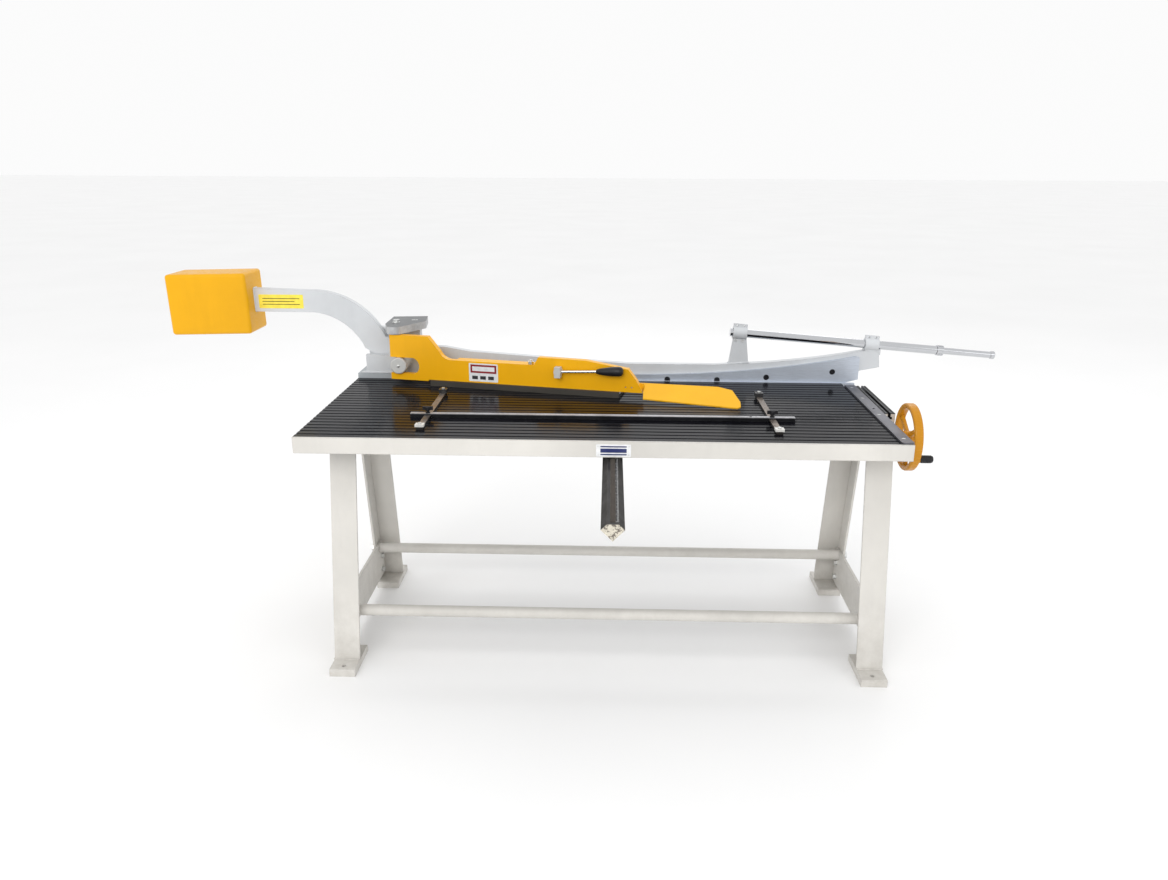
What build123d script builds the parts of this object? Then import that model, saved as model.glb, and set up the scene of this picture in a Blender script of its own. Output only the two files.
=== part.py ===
from build123d import *
from math import cos, sin, tan, radians, degrees, atan2, pi, hypot
import os

# Manual lever shear for sheet metal: a stand, a grooved table, a long counterweighted blade arm,
# a hold-down beam with a cam clamp, a front gauge and a rack-driven back gauge.
# Millimetres. +X right along the table, +Y away from the operator, +Z up.
# Origin on the floor, at the centre of the four anchor holes in the feet.

# ---- driving dimensions -------------------------------------------------------------------
TABLE_X0, TABLE_X1 = -970.0, 880.0      # grooved table, left and right ends
FRAME_X1 = 917.0                        # right end of the table frame
TABLE_Y = 385.0                         # half depth of the table
TABLE_Z = 820.0                         # working height
PLATE_T = 20.0                          # table plate
APRON_H = 51.0                          # height of the table frame
APRON_T = 8.0
FRAME_Z0 = TABLE_Z - APRON_H            # underside of the table frame
PLATE_Z0 = TABLE_Z - PLATE_T
GROOVE_PITCH, GROOVE_W, GROOVE_D = 33.0, 9.0, 3.0

ANCHOR_X, ANCHOR_Y, ANCHOR_R = 870.0, 378.0, 7.0
LEG_W, LEG_T = 85.0, 8.0
LEG_Y_TOP, LEG_Y_FLOOR = 202.0, 338.0   # front face of a leg under the table and on its foot
FOOT_L, FOOT_T = 165.0, 25.0
FOOT_Y0 = 404.0
TUBE_R, TUBE_WALL, TUBE_Y, TUBE_Z = 19.0, 3.0, 255.0, 168.0
MEMBER_Z0, MEMBER_Z1, MEMBER_T, MEMBER_Y = 45.0, 186.0, 10.0, 285.0

BED_Y0, BED_Z0 = 353.0, 700.0           # bar that carries the lower blade
LOWER_BLADE_T, LOWER_BLADE_H, LOWER_BLADE_X1 = 15.0, 50.0, 930.0
BLADE_X0, BLADE_X1 = -600.0, 945.0
SHEAR_GAP = 0.3
ARM_T = 30.0
BLADE_Y0 = TABLE_Y + LOWER_BLADE_T + SHEAR_GAP
ARM_Y0 = 414.0
ARM_Y1 = ARM_Y0 + ARM_T
ARM_YM = (ARM_Y0 + ARM_Y1) / 2

PIVOT_X, PIVOT_Z = -790.0, 890.0
PIN_R, BUSH_R, BOSS_R = 20.0, 27.0, 30.0
BEARING_FACE_R = 38.0
RUN = 0.05                              # radial running clearance
CHEEK_Y0, CHEEK_Y1 = 388.0, 412.0
REAR_CHEEK_Y0, REAR_CHEEK_Y1 = 446.0, 486.0
BASE_Z0, BASE_Z1 = 815.0, 841.0
CAP_Z0, CAP_Z1 = 1006.0, 1034.0

SKEW = 12.0                             # plan angle of the hold-down beam to the blade
HOLD_X, HOLD_Y = -823.0, 313.0          # front left end of the hold-down beam
WEB_T = 25.0
WEB_Z0 = 842.0
CAM_S, CAM_Z = 655.0, 906.5              # shaft of the clamp cam, along the beam and height
CAM_HIGH, CAM_LOW = 29.0, 21.0          # cam radius clamped and released
CAM_TURN = 120.0                        # lever travel from clamped to released
CAM_GAP = 0.8

WEIGHT_L, WEIGHT_H, WEIGHT_D = 303.0, 226.0, 170.0
WEIGHT_X, WEIGHT_Z, WEIGHT_TILT = -1506.0, 1104.0, 1.5

HANDLE_R, HANDLE_BORE, ROD_R = 16.0, 12.25, 12.2
HANDLE_P0 = (455.0, 1005.0)             # left end of the handle tube, X and Z
HANDLE_P1 = (1237.0, 943.0)             # middle of the lock ring
ROD_LENGTH, ROD_OUT = 620.0, 180.0
SPIGOT_R, RING_MOUTH_R = 15.0, 13.4      # tube end inside the lock ring, and the ring's outer bore

BAR_X, BAR_Z = 11.0, 747.0              # centre of the square guide bar on edge
BAR_HALF = 31.0                         # half diagonal of the bar
BAR_FLAT = 15.5                         # height of the flat top above the centre
BAR_Y0, BAR_Y1 = -893.0, 470.0
MODULE, PINION_TEETH = 2.0, 18
PITCH_R = MODULE * PINION_TEETH / 2
SHAFT_Y, SHAFT_R = -160.0, 10.0
RACK_PITCH_Z = 759.8
SHAFT_Z = RACK_PITCH_Z + PITCH_R
WHEEL_X, WHEEL_R, RIM_W, RIM_T = 970.0, 110.0, 28.0, 17.0

GAUGE_ARMS = ((-598.0, -288.0), (530.0, -290.0))     # X and front end Y of the two arms
GAUGE_ARM_L = 450.0
GAUGE_ARM_W, GAUGE_ARM_T = 20.0, 8.0
GAUGE_Y = -140.0
GAUGE_X0, GAUGE_X1 = -655.0, 604.0
GAUGE_Z0, GAUGE_H, GAUGE_D = TABLE_Z + 0.5, 13.0, 22.0

HOLD = Pos(HOLD_X, HOLD_Y, 0) * Rot(0, 0, -SKEW)   # local X along the beam, local Y towards the blade


# ---- shapes -------------------------------------------------------------------------------
def block(x0, x1, y0, y1, z0, z1):
    return Pos((x0 + x1) / 2, (y0 + y1) / 2, (z0 + z1) / 2) * Box(x1 - x0, y1 - y0, z1 - z0)


def rod_x(x0, x1, y, z, r):
    return Pos((x0 + x1) / 2, y, z) * Rot(0, 90, 0) * Cylinder(r, x1 - x0)


def rod_y(x, y0, y1, z, r):
    return Pos(x, (y0 + y1) / 2, z) * Rot(90, 0, 0) * Cylinder(r, y1 - y0)


def rod_z(x, y, z0, z1, r):
    return Pos(x, y, (z0 + z1) / 2) * Cylinder(r, z1 - z0)


def hex_x(x0, x1, y, z, flats):
    plane = Plane(origin=(x0, y, z), x_dir=(0, 1, 0), z_dir=(1, 0, 0))
    return extrude(plane * RegularPolygon(flats / 2, 6, major_radius=False), x1 - x0)


def hex_y(x, y0, y1, z, flats):
    plane = Plane(origin=(x, y1, z), x_dir=(1, 0, 0), z_dir=(0, -1, 0))
    return extrude(plane * RegularPolygon(flats / 2, 6, major_radius=False), y1 - y0)


def hex_z(x, y, z0, z1, flats):
    return extrude(Pos(x, y, z0) * RegularPolygon(flats / 2, 6, major_radius=False), z1 - z0)


def side_plate(edges, y0, y1):
    """Plate standing along X: an outline drawn in X and Z, between two depths."""
    outline = Plane(origin=(0, y1, 0), x_dir=(1, 0, 0), z_dir=(0, -1, 0)) * make_face(edges)
    return extrude(outline, y1 - y0)


def end_plate(points, x0, x1):
    """Plate standing along Y: a polygon in Y and Z, between two places along X."""
    plane = Plane(origin=(x0, 0, 0), x_dir=(0, 1, 0), z_dir=(1, 0, 0))
    return extrude(plane * make_face(polygon(*points)), x1 - x0)


def flat_plate(points, z0, z1):
    return extrude(Pos(0, 0, z0) * make_face(polygon(*points)), z1 - z0)


def polygon(*points):
    return Polyline(*points, close=True)


def save(name, *solids):
    shape = solids[0] if len(solids) == 1 else Compound(children=list(solids))
    export_step(shape, f"parts/{name}.step")


# ---- stand --------------------------------------------------------------------------------
def leg(side, end):
    """Angle-iron leg on its foot plate. side is -1 left, 1 right; end is -1 front, 1 rear."""
    y_low, y_top = end * LEG_Y_FLOOR, end * LEG_Y_TOP
    x_out, x_in = side * (ANCHOR_X + LEG_W / 2), side * (ANCHOR_X - LEG_W / 2)

    def strip(width):
        depth = end * width
        return [(y_low, FOOT_T), (y_low - depth, FOOT_T), (y_top - depth, FRAME_Z0), (y_top, FRAME_Z0)]

    face = end_plate(strip(LEG_T), min(x_out, x_in), max(x_out, x_in))
    x_web = x_out - side * LEG_T
    web = end_plate(strip(LEG_W), min(x_out, x_web), max(x_out, x_web))
    shape = face + web + foot(side, end)
    shape -= rod_x(x_web - 20, x_web + 20, end * TUBE_Y, TUBE_Z, 8.2)
    for y, z in member_bolts():
        shape -= rod_x(x_web - 20, x_web + 20, end * y, z, 6.2)
    if side > 0 and end < 0:
        shape -= rod_x(x_in - 1, x_out + 1, SHAFT_Y, SHAFT_Z, SHAFT_R + 6.5)
    return shape


def member_bolts():
    return [(MEMBER_Y - 20, MEMBER_Z0 + 25), (MEMBER_Y - 20, MEMBER_Z1 - 57)]


def foot(side, end):
    x = side * ANCHOR_X
    y0, y1 = sorted((end * FOOT_Y0, end * (FOOT_Y0 - FOOT_L)))
    plate = block(x - LEG_W / 2, x + LEG_W / 2, y0, y1, 0, FOOT_T)
    plate = chamfer(plate.edges().filter_by(Axis.X).group_by(Axis.Z)[-1], 3)
    return plate - rod_z(x, end * ANCHOR_Y, -1, FOOT_T + 1, ANCHOR_R)


def stretcher(end):
    x = ANCHOR_X + LEG_W / 2 - LEG_T
    tube = rod_x(-x, x, end * TUBE_Y, TUBE_Z, TUBE_R)
    bore = rod_x(-x + 14, x - 14, end * TUBE_Y, TUBE_Z, TUBE_R - TUBE_WALL)
    screw = rod_x(-x - 1, x + 1, end * TUBE_Y, TUBE_Z, 8.0)
    return tube - bore - screw


def stretcher_bolts():
    x = ANCHOR_X + LEG_W / 2
    bolts = []
    for end in (-1, 1):
        for side in (-1, 1):
            shank = rod_x(*sorted((side * (x - 30), side * (x + 4))), end * TUBE_Y, TUBE_Z, 8.0)
            washer = rod_x(*sorted((side * x, side * (x + 3))), end * TUBE_Y, TUBE_Z, 15.0)
            head = hex_x(*sorted((side * (x + 3), side * (x + 13))), end * TUBE_Y, TUBE_Z, 24.0)
            bolts.append(shank + washer + head)
    return bolts


def side_member(side):
    x_web = ANCHOR_X + LEG_W / 2 - LEG_T
    x0, x1 = sorted((side * x_web, side * (x_web - MEMBER_T)))
    low, high = MEMBER_Y + 22, MEMBER_Y
    points = [(-low, MEMBER_Z0), (low, MEMBER_Z0), (high, MEMBER_Z1), (-high, MEMBER_Z1)]
    plate = end_plate(points, x0, x1)
    for end in (-1, 1):
        plate -= rod_x(x0 - 1, x1 + 1, end * TUBE_Y, TUBE_Z, TUBE_R + 1)
        for y, z in member_bolts():
            plate -= rod_x(x0 - 1, x1 + 1, end * y, z, 6.2)
    return plate


def member_bolt_set():
    x = ANCHOR_X + LEG_W / 2
    bolts = []
    for side in (-1, 1):
        for end in (-1, 1):
            for y, z in member_bolts():
                shank = rod_x(*sorted((side * (x - 22), side * (x + 1))), end * y, z, 6.0)
                head = hex_x(*sorted((side * x, side * (x + 8))), end * y, z, 19.0)
                seat = x - LEG_T - MEMBER_T
                nut = hex_x(*sorted((side * (seat - 10), side * seat)), end * y, z, 19.0)
                bolts.append(shank + head + nut)
    return bolts


def stand_top(side):
    """Channel along Y that joins the tops of a front and a rear leg under the table."""
    x_out, x_in = side * (ANCHOR_X + LEG_W / 2), side * (ANCHOR_X - LEG_W / 2)
    if side > 0:
        x_out = TABLE_X1 - 0.5
    x0, x1 = sorted((x_out, x_in))
    channel = block(x0, x1, -215, 215, FRAME_Z0, PLATE_Z0)
    channel -= block(x0 + 6, x1 - 6, -209, 209, FRAME_Z0 + 6, PLATE_Z0 + 1)
    if side > 0:
        channel -= rod_x(x0 - 1, x1 + 1, SHAFT_Y, SHAFT_Z, SHAFT_R + 4)
    return channel


# ---- table --------------------------------------------------------------------------------
def table_frame():
    """Front apron and left side plate, welded together."""
    face = block(TABLE_X0, FRAME_X1, -TABLE_Y, -TABLE_Y + APRON_T, FRAME_Z0, TABLE_Z)
    foot_strip = block(TABLE_X0 + APRON_T, TABLE_X1, -TABLE_Y, -TABLE_Y + 45, FRAME_Z0, FRAME_Z0 + 6)
    side = block(TABLE_X0, TABLE_X0 + APRON_T, -TABLE_Y, TABLE_Y, FRAME_Z0, PLATE_Z0)
    return face + foot_strip + side


def side_beam_right():
    beam = block(TABLE_X1, FRAME_X1, -TABLE_Y + APRON_T, TABLE_Y, FRAME_Z0, TABLE_Z - 12)
    beam -= rod_x(TABLE_X1 - 1, FRAME_X1 + 1, SHAFT_Y, SHAFT_Z, SHAFT_R + 5)
    for y in RAIL_SCREWS:
        beam -= rod_z((TABLE_X1 + FRAME_X1) / 2, y, TABLE_Z - 32, TABLE_Z, 4.0)
    for y in SLOT_RAIL_SCREWS:
        beam -= rod_x(FRAME_X1 - 20, FRAME_X1 + 1, y, TABLE_Z - 21, 4.0)
    return beam


def table_top():
    plate = block(TABLE_X0, TABLE_X1, -TABLE_Y + APRON_T, TABLE_Y, PLATE_Z0, TABLE_Z)
    count = int((2 * TABLE_Y - 40) // GROOVE_PITCH)
    first = -GROOVE_PITCH * (count - 1) / 2
    for i in range(count):
        y0 = first + i * GROOVE_PITCH - GROOVE_W / 2
        plate -= block(TABLE_X0 - 1, TABLE_X1 + 1, y0, y0 + GROOVE_W, TABLE_Z - GROOVE_D, TABLE_Z + 1)
    for y in GUIDE_BLOCKS:
        for x in GUIDE_BOLTS:
            plate -= rod_z(x, y, PLATE_Z0 - 1, PLATE_Z0 + 12, 6.0)
    return plate


def lower_blade_bed():
    bed = block(TABLE_X0 + APRON_T, TABLE_X1, BED_Y0, TABLE_Y, BED_Z0, PLATE_Z0)
    bed -= block(BAR_X - 48, BAR_X + 48, BED_Y0 - 1, TABLE_Y + 1, BED_Z0 - 1, FRAME_Z0)
    for x in lower_blade_holes():
        bed -= rod_y(x, BED_Y0 - 1, TABLE_Y + 1, PLATE_Z0 - 14, 5.1)
    return bed


def lower_blade_holes():
    step = (BLADE_X1 - BLADE_X0 - 160) / 8
    return [BLADE_X0 + 60 + step * i for i in range(9)]


def lower_blade():
    back = TABLE_Y + LOWER_BLADE_T
    blade = block(BLADE_X0, LOWER_BLADE_X1, TABLE_Y, back, TABLE_Z - LOWER_BLADE_H, TABLE_Z)
    for x in lower_blade_holes():
        blade -= rod_y(x, TABLE_Y - 1, back + 1, PLATE_Z0 - 14, 5.1)
        blade -= rod_y(x, back - 6, back + 1, PLATE_Z0 - 14, 9.0)
    return blade


def lower_blade_bolts():
    bolts = []
    for x in lower_blade_holes():
        z = PLATE_Z0 - 14
        shank = rod_y(x, BED_Y0 - 11, TABLE_Y + LOWER_BLADE_T - 4, z, 5.0)
        head = rod_y(x, TABLE_Y + LOWER_BLADE_T - 6, TABLE_Y + LOWER_BLADE_T - 0.6, z, 8.6)
        nut = hex_y(x, BED_Y0 - 9, BED_Y0, z, 17.0)
        bolts.append(shank + head + nut)
    return bolts


RAIL_SCREWS = (-330.0, -60.0, 150.0, 300.0)
SLOT_RAIL_SCREWS = (-15.0, 145.0, 305.0)


def squaring_rail():
    """Ground steel rail flush along the right end of the table, square to the blade."""
    rail = block(TABLE_X1, FRAME_X1, -TABLE_Y + APRON_T, 337, TABLE_Z - 12, TABLE_Z + 6)
    rail -= Pos(TABLE_X1 - 5, -TABLE_Y + APRON_T, TABLE_Z + 6) * Rot(0, 0, 45) * Box(16, 16, 40)
    x = (TABLE_X1 + FRAME_X1) / 2
    for y in RAIL_SCREWS:
        rail -= rod_z(x, y, TABLE_Z - 13, TABLE_Z + 7, 4.3)
        rail -= rod_z(x, y, TABLE_Z, TABLE_Z + 7, 7.5)
    return rail - rod_z(x, 5, TABLE_Z - 13, TABLE_Z + 7, 5.0)


def rail_screws():
    x = (TABLE_X1 + FRAME_X1) / 2
    return [rod_z(x, y, TABLE_Z - 30, TABLE_Z + 1, 4.0) + rod_z(x, y, TABLE_Z, TABLE_Z + 5, 7.0)
            for y in RAIL_SCREWS]


def side_slot_rail():
    """Black ribbed T-slot bar on the right end, for a side stop."""
    bar = block(FRAME_X1, FRAME_X1 + 40, -46, 335, TABLE_Z - 30, TABLE_Z + 4)
    bar -= block(FRAME_X1 + 15, FRAME_X1 + 25, -47, 336, TABLE_Z - 8, TABLE_Z + 5)
    bar -= block(FRAME_X1 + 10, FRAME_X1 + 30, -47, 336, TABLE_Z - 16, TABLE_Z - 8)
    for x in (FRAME_X1 + 6, FRAME_X1 + 34):
        bar -= block(x - 1.5, x + 1.5, -47, 336, TABLE_Z + 2, TABLE_Z + 5)
    for y in SLOT_RAIL_SCREWS:
        bar -= rod_x(FRAME_X1 - 1, FRAME_X1 + 41, y, TABLE_Z - 21, 4.0)
    return bar


def slot_rail_screws():
    z = TABLE_Z - 21
    return [rod_x(FRAME_X1 - 19, FRAME_X1 + 40, y, z, 3.9) + rod_x(FRAME_X1 + 40, FRAME_X1 + 45, y, z, 7.0)
            for y in SLOT_RAIL_SCREWS]


# ---- pivot --------------------------------------------------------------------------------
def pivot_bracket():
    """Cast outrigger bolted behind the bed; it carries the pedestal."""
    shelf = block(-962, -640, TABLE_Y, 560, BASE_Z0 - 25, BASE_Z0)
    wall = block(-962, -640, TABLE_Y, TABLE_Y + 20, BED_Z0, BASE_Z0 - 25)
    shape = shelf + wall
    for x in (-940, -800, -662):
        front, under = TABLE_Y + 20, BASE_Z0 - 25
        rib = [(front, BED_Z0), (front + 30, BED_Z0), (555, under), (front, under)]
        shape += end_plate(rib, x - 9, x + 9)
    for x, z in BRACKET_BOLTS:
        shape -= rod_y(x, TABLE_Y - 1, TABLE_Y + 21, z, 8.2)
    return shape


BRACKET_BOLTS = ((-870.0, 730.0), (-730.0, 730.0), (-870.0, 772.0), (-730.0, 772.0))


def bracket_bolts():
    bolts = []
    for x, z in BRACKET_BOLTS:
        shank = rod_y(x, TABLE_Y, TABLE_Y + 22, z, 8.0)
        bolts.append(shank + hex_y(x, TABLE_Y + 20, TABLE_Y + 30, z, 24.0))
    return bolts


def pivot_base():
    plate = block(-970, -640, TABLE_Y + 1, 560, BASE_Z0, BASE_Z1)
    return chamfer(plate.edges().group_by(Axis.Z)[-1], 3)


def cheek_outline(left, right):
    """Pedestal cheek: a flared foot and a round head over the pivot."""
    low = BASE_Z1
    head_right, head_left = (PIVOT_X + 62, PIVOT_Z + 10), (PIVOT_X - 62, PIVOT_Z + 20)
    return [
        Line((left - 22, low), (right + 18, low)),
        Line((right + 18, low), (right, low + 20)),
        Line((right, low + 20), head_right),
        ThreePointArc(head_right, (PIVOT_X, PIVOT_Z + 62), head_left),
        Line(head_left, (left, low + 70)),
        Line((left, low + 70), (left, low + 22)),
        ThreePointArc((left, low + 22), (left - 7, low + 7), (left - 22, low)),
    ]


def front_cheek():
    """Front cheek with the narrow post under the front bolt of the cap."""
    cheek = side_plate(cheek_outline(-935, -680), CHEEK_Y0, CHEEK_Y1)
    cheek += block(FRONT_BOLT_X - 18, FRONT_BOLT_X + 18, CHEEK_Y0, CHEEK_Y1, PIVOT_Z + 40, CAP_Z0)
    cheek -= rod_z(FRONT_BOLT_X, FRONT_BOLT_Y, CAP_Z0 - 40, CAP_Z0 + 1, 6.0)
    cheek += rod_y(PIVOT_X, CHEEK_Y1, ARM_Y0 - 0.3, PIVOT_Z, BEARING_FACE_R)
    return cheek - rod_y(PIVOT_X, CHEEK_Y0 - 1, ARM_Y0, PIVOT_Z, PIN_R)


def rear_cheek():
    """Rear cheek with the tall post that holds the cap plate."""
    points = [(-957, BASE_Z1), (-662, BASE_Z1), (-680, BASE_Z1 + 20), (-735, CAP_Z0 - 60), (-735, CAP_Z0),
              (-900, CAP_Z0), (-935, CAP_Z0 - 70), (-935, BASE_Z1 + 22)]
    cheek = side_plate(polygon(*points), REAR_CHEEK_Y0, REAR_CHEEK_Y1)
    cheek += rod_y(PIVOT_X, ARM_Y1 + 0.3, REAR_CHEEK_Y0, PIVOT_Z, BEARING_FACE_R)
    cheek -= rod_y(PIVOT_X, ARM_Y1, REAR_CHEEK_Y1 + 1, PIVOT_Z, PIN_R)
    for x in CAP_BOLTS:
        cheek -= rod_z(x, CAP_BOLT_Y, CAP_Z0 - 45, CAP_Z0 + 1, 8.0)
    return cheek


CAP_BOLTS = (-828.0, -757.0)
CAP_BOLT_Y = (REAR_CHEEK_Y0 + REAR_CHEEK_Y1) / 2
FRONT_BOLT_X, FRONT_BOLT_Y = -814.0, (CHEEK_Y0 + CHEEK_Y1) / 2


def pivot_cap():
    """Thick plate over the arm; its nose has a foot on the top of the hold-down beam."""
    outline = [
        Line((-853, 532), (-722, 549)),
        Line((-722, 549), (-708, 438)),
        Line((-708, 438), (-777, 318)),
        ThreePointArc((-777, 318), (-803, 303), (-830, 318)),
        Line((-830, 318), (-849, 372)),
        Line((-849, 372), (-853, 532)),
    ]
    plate = extrude(Pos(0, 0, CAP_Z0) * make_face(outline), CAP_Z1 - CAP_Z0)
    plate += HOLD * block(12, 38, 8, WEB_T, HOLD_TOP, CAP_Z0 + 1)
    for x in CAP_BOLTS:
        plate -= rod_z(x, CAP_BOLT_Y, CAP_Z0 - 1, CAP_Z1 + 1, 8.2)
        plate -= rod_z(x, CAP_BOLT_Y, CAP_Z1 - 16, CAP_Z1 + 1, 13.0)
    return plate - rod_z(FRONT_BOLT_X, FRONT_BOLT_Y, CAP_Z0 - 1, CAP_Z1 + 1, 6.2)


def cap_screws():
    """Two socket screws sunk in the cap, into the rear cheek."""
    screws = []
    for x in CAP_BOLTS:
        head = rod_z(x, CAP_BOLT_Y, CAP_Z1 - 16, CAP_Z1 - 0.5, 12.0)
        head -= hex_z(x, CAP_BOLT_Y, CAP_Z1 - 9, CAP_Z1, 14.0)
        screws.append(rod_z(x, CAP_BOLT_Y, CAP_Z0 - 44, CAP_Z1 - 15, 8.0) + head)
    return screws


def cap_bolt():
    """Hexagon bolt with a washer, into the front cheek."""
    shank = rod_z(FRONT_BOLT_X, FRONT_BOLT_Y, CAP_Z0 - 39, CAP_Z1 + 1, 6.0)
    washer = rod_z(FRONT_BOLT_X, FRONT_BOLT_Y, CAP_Z1, CAP_Z1 + 3, 14.0)
    return shank + washer + hex_z(FRONT_BOLT_X, FRONT_BOLT_Y, CAP_Z1 + 3, CAP_Z1 + 11, 19.0)


def pivot_pin():
    boss = rod_y(PIVOT_X, 290, CHEEK_Y0, PIVOT_Z, BOSS_R)
    boss = chamfer(boss.edges().group_by(Axis.Y)[0], 3)
    return boss + rod_y(PIVOT_X, CHEEK_Y0, REAR_CHEEK_Y1 + 30, PIVOT_Z, PIN_R)


def pivot_nut():
    nut = rod_y(PIVOT_X, REAR_CHEEK_Y1, REAR_CHEEK_Y1 + 4, PIVOT_Z, 36.0)
    nut += hex_y(PIVOT_X, REAR_CHEEK_Y1 + 4, REAR_CHEEK_Y1 + 26, PIVOT_Z, 60.0)
    return nut - rod_y(PIVOT_X, REAR_CHEEK_Y1 - 1, REAR_CHEEK_Y1 + 27, PIVOT_Z, PIN_R)


# ---- blade arm ----------------------------------------------------------------------------
def arm_outline():
    """Counterweight end, hub and blade end of the arm, drawn in X and Z."""
    low = TABLE_Z - 8
    return [
        Line((-1368, 1069), (-1130, 1068)),
        ThreePointArc((-1130, 1068), (-1020, 1027), (-942, 932)),
        Line((-942, 932), (-815, 854)),
        ThreePointArc((-815, 854), (-790, 847), (-762, 852)),
        Line((-762, 852), (-618, 850)),
        Line((-618, 850), (-600, low)),
        Line((-600, low), (520, low)),
        Line((520, low), (946, 862)),
        Line((946, 862), (1025, 878)),
        Line((1025, 878), (1019, 936)),
        Line((1019, 936), (966, 941)),
        ThreePointArc((966, 941), (724, 904), (470, 884)),
        Line((470, 884), (400, 881)),
        Line((400, 881), (73, 881)),
        Line((73, 881), (-196, 898)),
        Line((-196, 898), (-536, 922)),
        Line((-536, 922), (-635, 939)),
        Line((-635, 939), (-710, 941)),
        Line((-710, 941), (-861, 976)),
        ThreePointArc((-861, 976), (-975, 1106), (-1149, 1151)),
        Line((-1149, 1151), (-1368, 1158)),
        Line((-1368, 1158), (-1368, 1069)),
    ]


def blade_arm():
    arm = side_plate(arm_outline(), ARM_Y0, ARM_Y1)
    arm -= rod_y(PIVOT_X, ARM_Y0 - 1, ARM_Y1 + 1, PIVOT_Z, BUSH_R)
    for x, z in upper_blade_holes():
        arm -= rod_y(x, ARM_Y0 - 1, ARM_Y1 + 1, z, 6.2)
    return arm - weight_place() * Box(WEIGHT_L, WEIGHT_D, WEIGHT_H)


def arm_bush():
    bush = rod_y(PIVOT_X, ARM_Y0, ARM_Y1, PIVOT_Z, BUSH_R)
    return bush - rod_y(PIVOT_X, ARM_Y0 - 1, ARM_Y1 + 1, PIVOT_Z, PIN_R + RUN)


def upper_blade_holes():
    low = [(x, TABLE_Z + 4) for x in (-540.0, -350.0, -160.0, 30.0, 220.0, 410.0)]
    return low + [(597.0, TABLE_Z + 16), (846.0, TABLE_Z + 40)]


def upper_blade():
    """Blade with a bowed cutting edge that passes below the table edge when the arm is down."""
    outline = [
        ThreePointArc((BLADE_X0, TABLE_Z - 18), (150, TABLE_Z - 24), (895, TABLE_Z - 1)),
        Line((895, TABLE_Z - 1), (BLADE_X1, TABLE_Z + 12)),
        Line((BLADE_X1, TABLE_Z + 12), (BLADE_X1, TABLE_Z + 96)),
        Line((BLADE_X1, TABLE_Z + 96), (930, TABLE_Z + 100)),
        ThreePointArc((930, TABLE_Z + 100), (560, TABLE_Z + 46), (100, TABLE_Z + 22)),
        Line((100, TABLE_Z + 22), (BLADE_X0, TABLE_Z + 20)),
        Line((BLADE_X0, TABLE_Z + 20), (BLADE_X0, TABLE_Z - 18)),
    ]
    blade = side_plate(outline, BLADE_Y0, ARM_Y0)
    for x, z in upper_blade_holes():
        blade -= rod_y(x, BLADE_Y0 - 1, ARM_Y0 + 1, z, 6.2)
        blade -= rod_y(x, BLADE_Y0 - 1, BLADE_Y0 + 7, z, 11.0)
    return blade


def upper_blade_bolts():
    bolts = []
    for x, z in upper_blade_holes():
        head = rod_y(x, BLADE_Y0 + 3, BLADE_Y0 + 7, z, 10.6)
        head -= hex_y(x, BLADE_Y0 + 1, BLADE_Y0 + 6, z, 10.0)
        shank = rod_y(x, BLADE_Y0 + 7, ARM_Y1 + 12, z, 6.0)
        bolts.append(shank + head + hex_y(x, ARM_Y1, ARM_Y1 + 10, z, 19.0))
    return bolts


def weight_place():
    return Pos(WEIGHT_X, ARM_YM, WEIGHT_Z) * Rot(0, -WEIGHT_TILT, 0)


def counterweight_box():
    """Closed steel box welded on the end of the arm."""
    shell = Box(WEIGHT_L, WEIGHT_D, WEIGHT_H)
    shell = fillet(shell.edges(), 12)
    shell -= Box(WEIGHT_L - 16, WEIGHT_D - 16, WEIGHT_H - 16)
    return weight_place() * shell


def counterweight_fill():
    """Ballast slab lying in the bottom of the box."""
    slab_h = 118.0
    slab = Pos(0, 0, -(WEIGHT_H - 16 - slab_h) / 2) * Box(WEIGHT_L - 17, WEIGHT_D - 17, slab_h)
    return weight_place() * slab


# ---- handle -------------------------------------------------------------------------------
HANDLE_DX, HANDLE_DZ = HANDLE_P1[0] - HANDLE_P0[0], HANDLE_P1[1] - HANDLE_P0[1]
HANDLE_L = hypot(HANDLE_DX, HANDLE_DZ)
HANDLE_TILT = degrees(atan2(-HANDLE_DZ, HANDLE_DX))
HANDLE = Pos(HANDLE_P0[0], ARM_YM, HANDLE_P0[1]) * Rot(0, HANDLE_TILT, 0)   # local X along the tube


def handle_z(x):
    return HANDLE_P0[1] + HANDLE_DZ * (x - HANDLE_P0[0]) / HANDLE_DX


def handle_post():
    """Tapered gusset with its collar, under the left end of the handle tube."""
    points = [(452, 874), (530, 874), (514, handle_z(490)), (470, handle_z(490))]
    post = side_plate(polygon(*points), ARM_Y0 + 5, ARM_Y1 - 5)
    post = post - HANDLE * rod_x(-20, 100, 0, 0, HANDLE_R + 4) + collar(COLLARS[0])
    return post - side_plate(arm_outline(), ARM_Y0 - 30, ARM_Y1 + 30)


def handle_block():
    """Block with the right collar, at the end of the arm."""
    shape = block(965, 1024, ARM_Y0, ARM_Y1, 925, handle_z(990))
    shape = shape - HANDLE * rod_x(470, 640, 0, 0, HANDLE_R + 4) + collar(COLLARS[1])
    return shape - side_plate(arm_outline(), ARM_Y0 - 30, ARM_Y1 + 30)


def collar(x):
    """Split collar round the tube at distance x along it."""
    ring = rod_x(x - 26, x + 26, 0, 0, HANDLE_R + 8) - rod_x(x - 27, x + 27, 0, 0, HANDLE_R)
    lug = block(x - 26, x + 26, -7, 7, HANDLE_R + 4, HANDLE_R + 18)
    lug -= block(x - 27, x + 27, -1.2, 1.2, HANDLE_R, HANDLE_R + 19)
    lug -= rod_y(x - 13, -8, 8, HANDLE_R + 12, 3.6)
    lug -= rod_y(x + 13, -8, 8, HANDLE_R + 12, 3.6)
    return HANDLE * (ring + lug)


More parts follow.
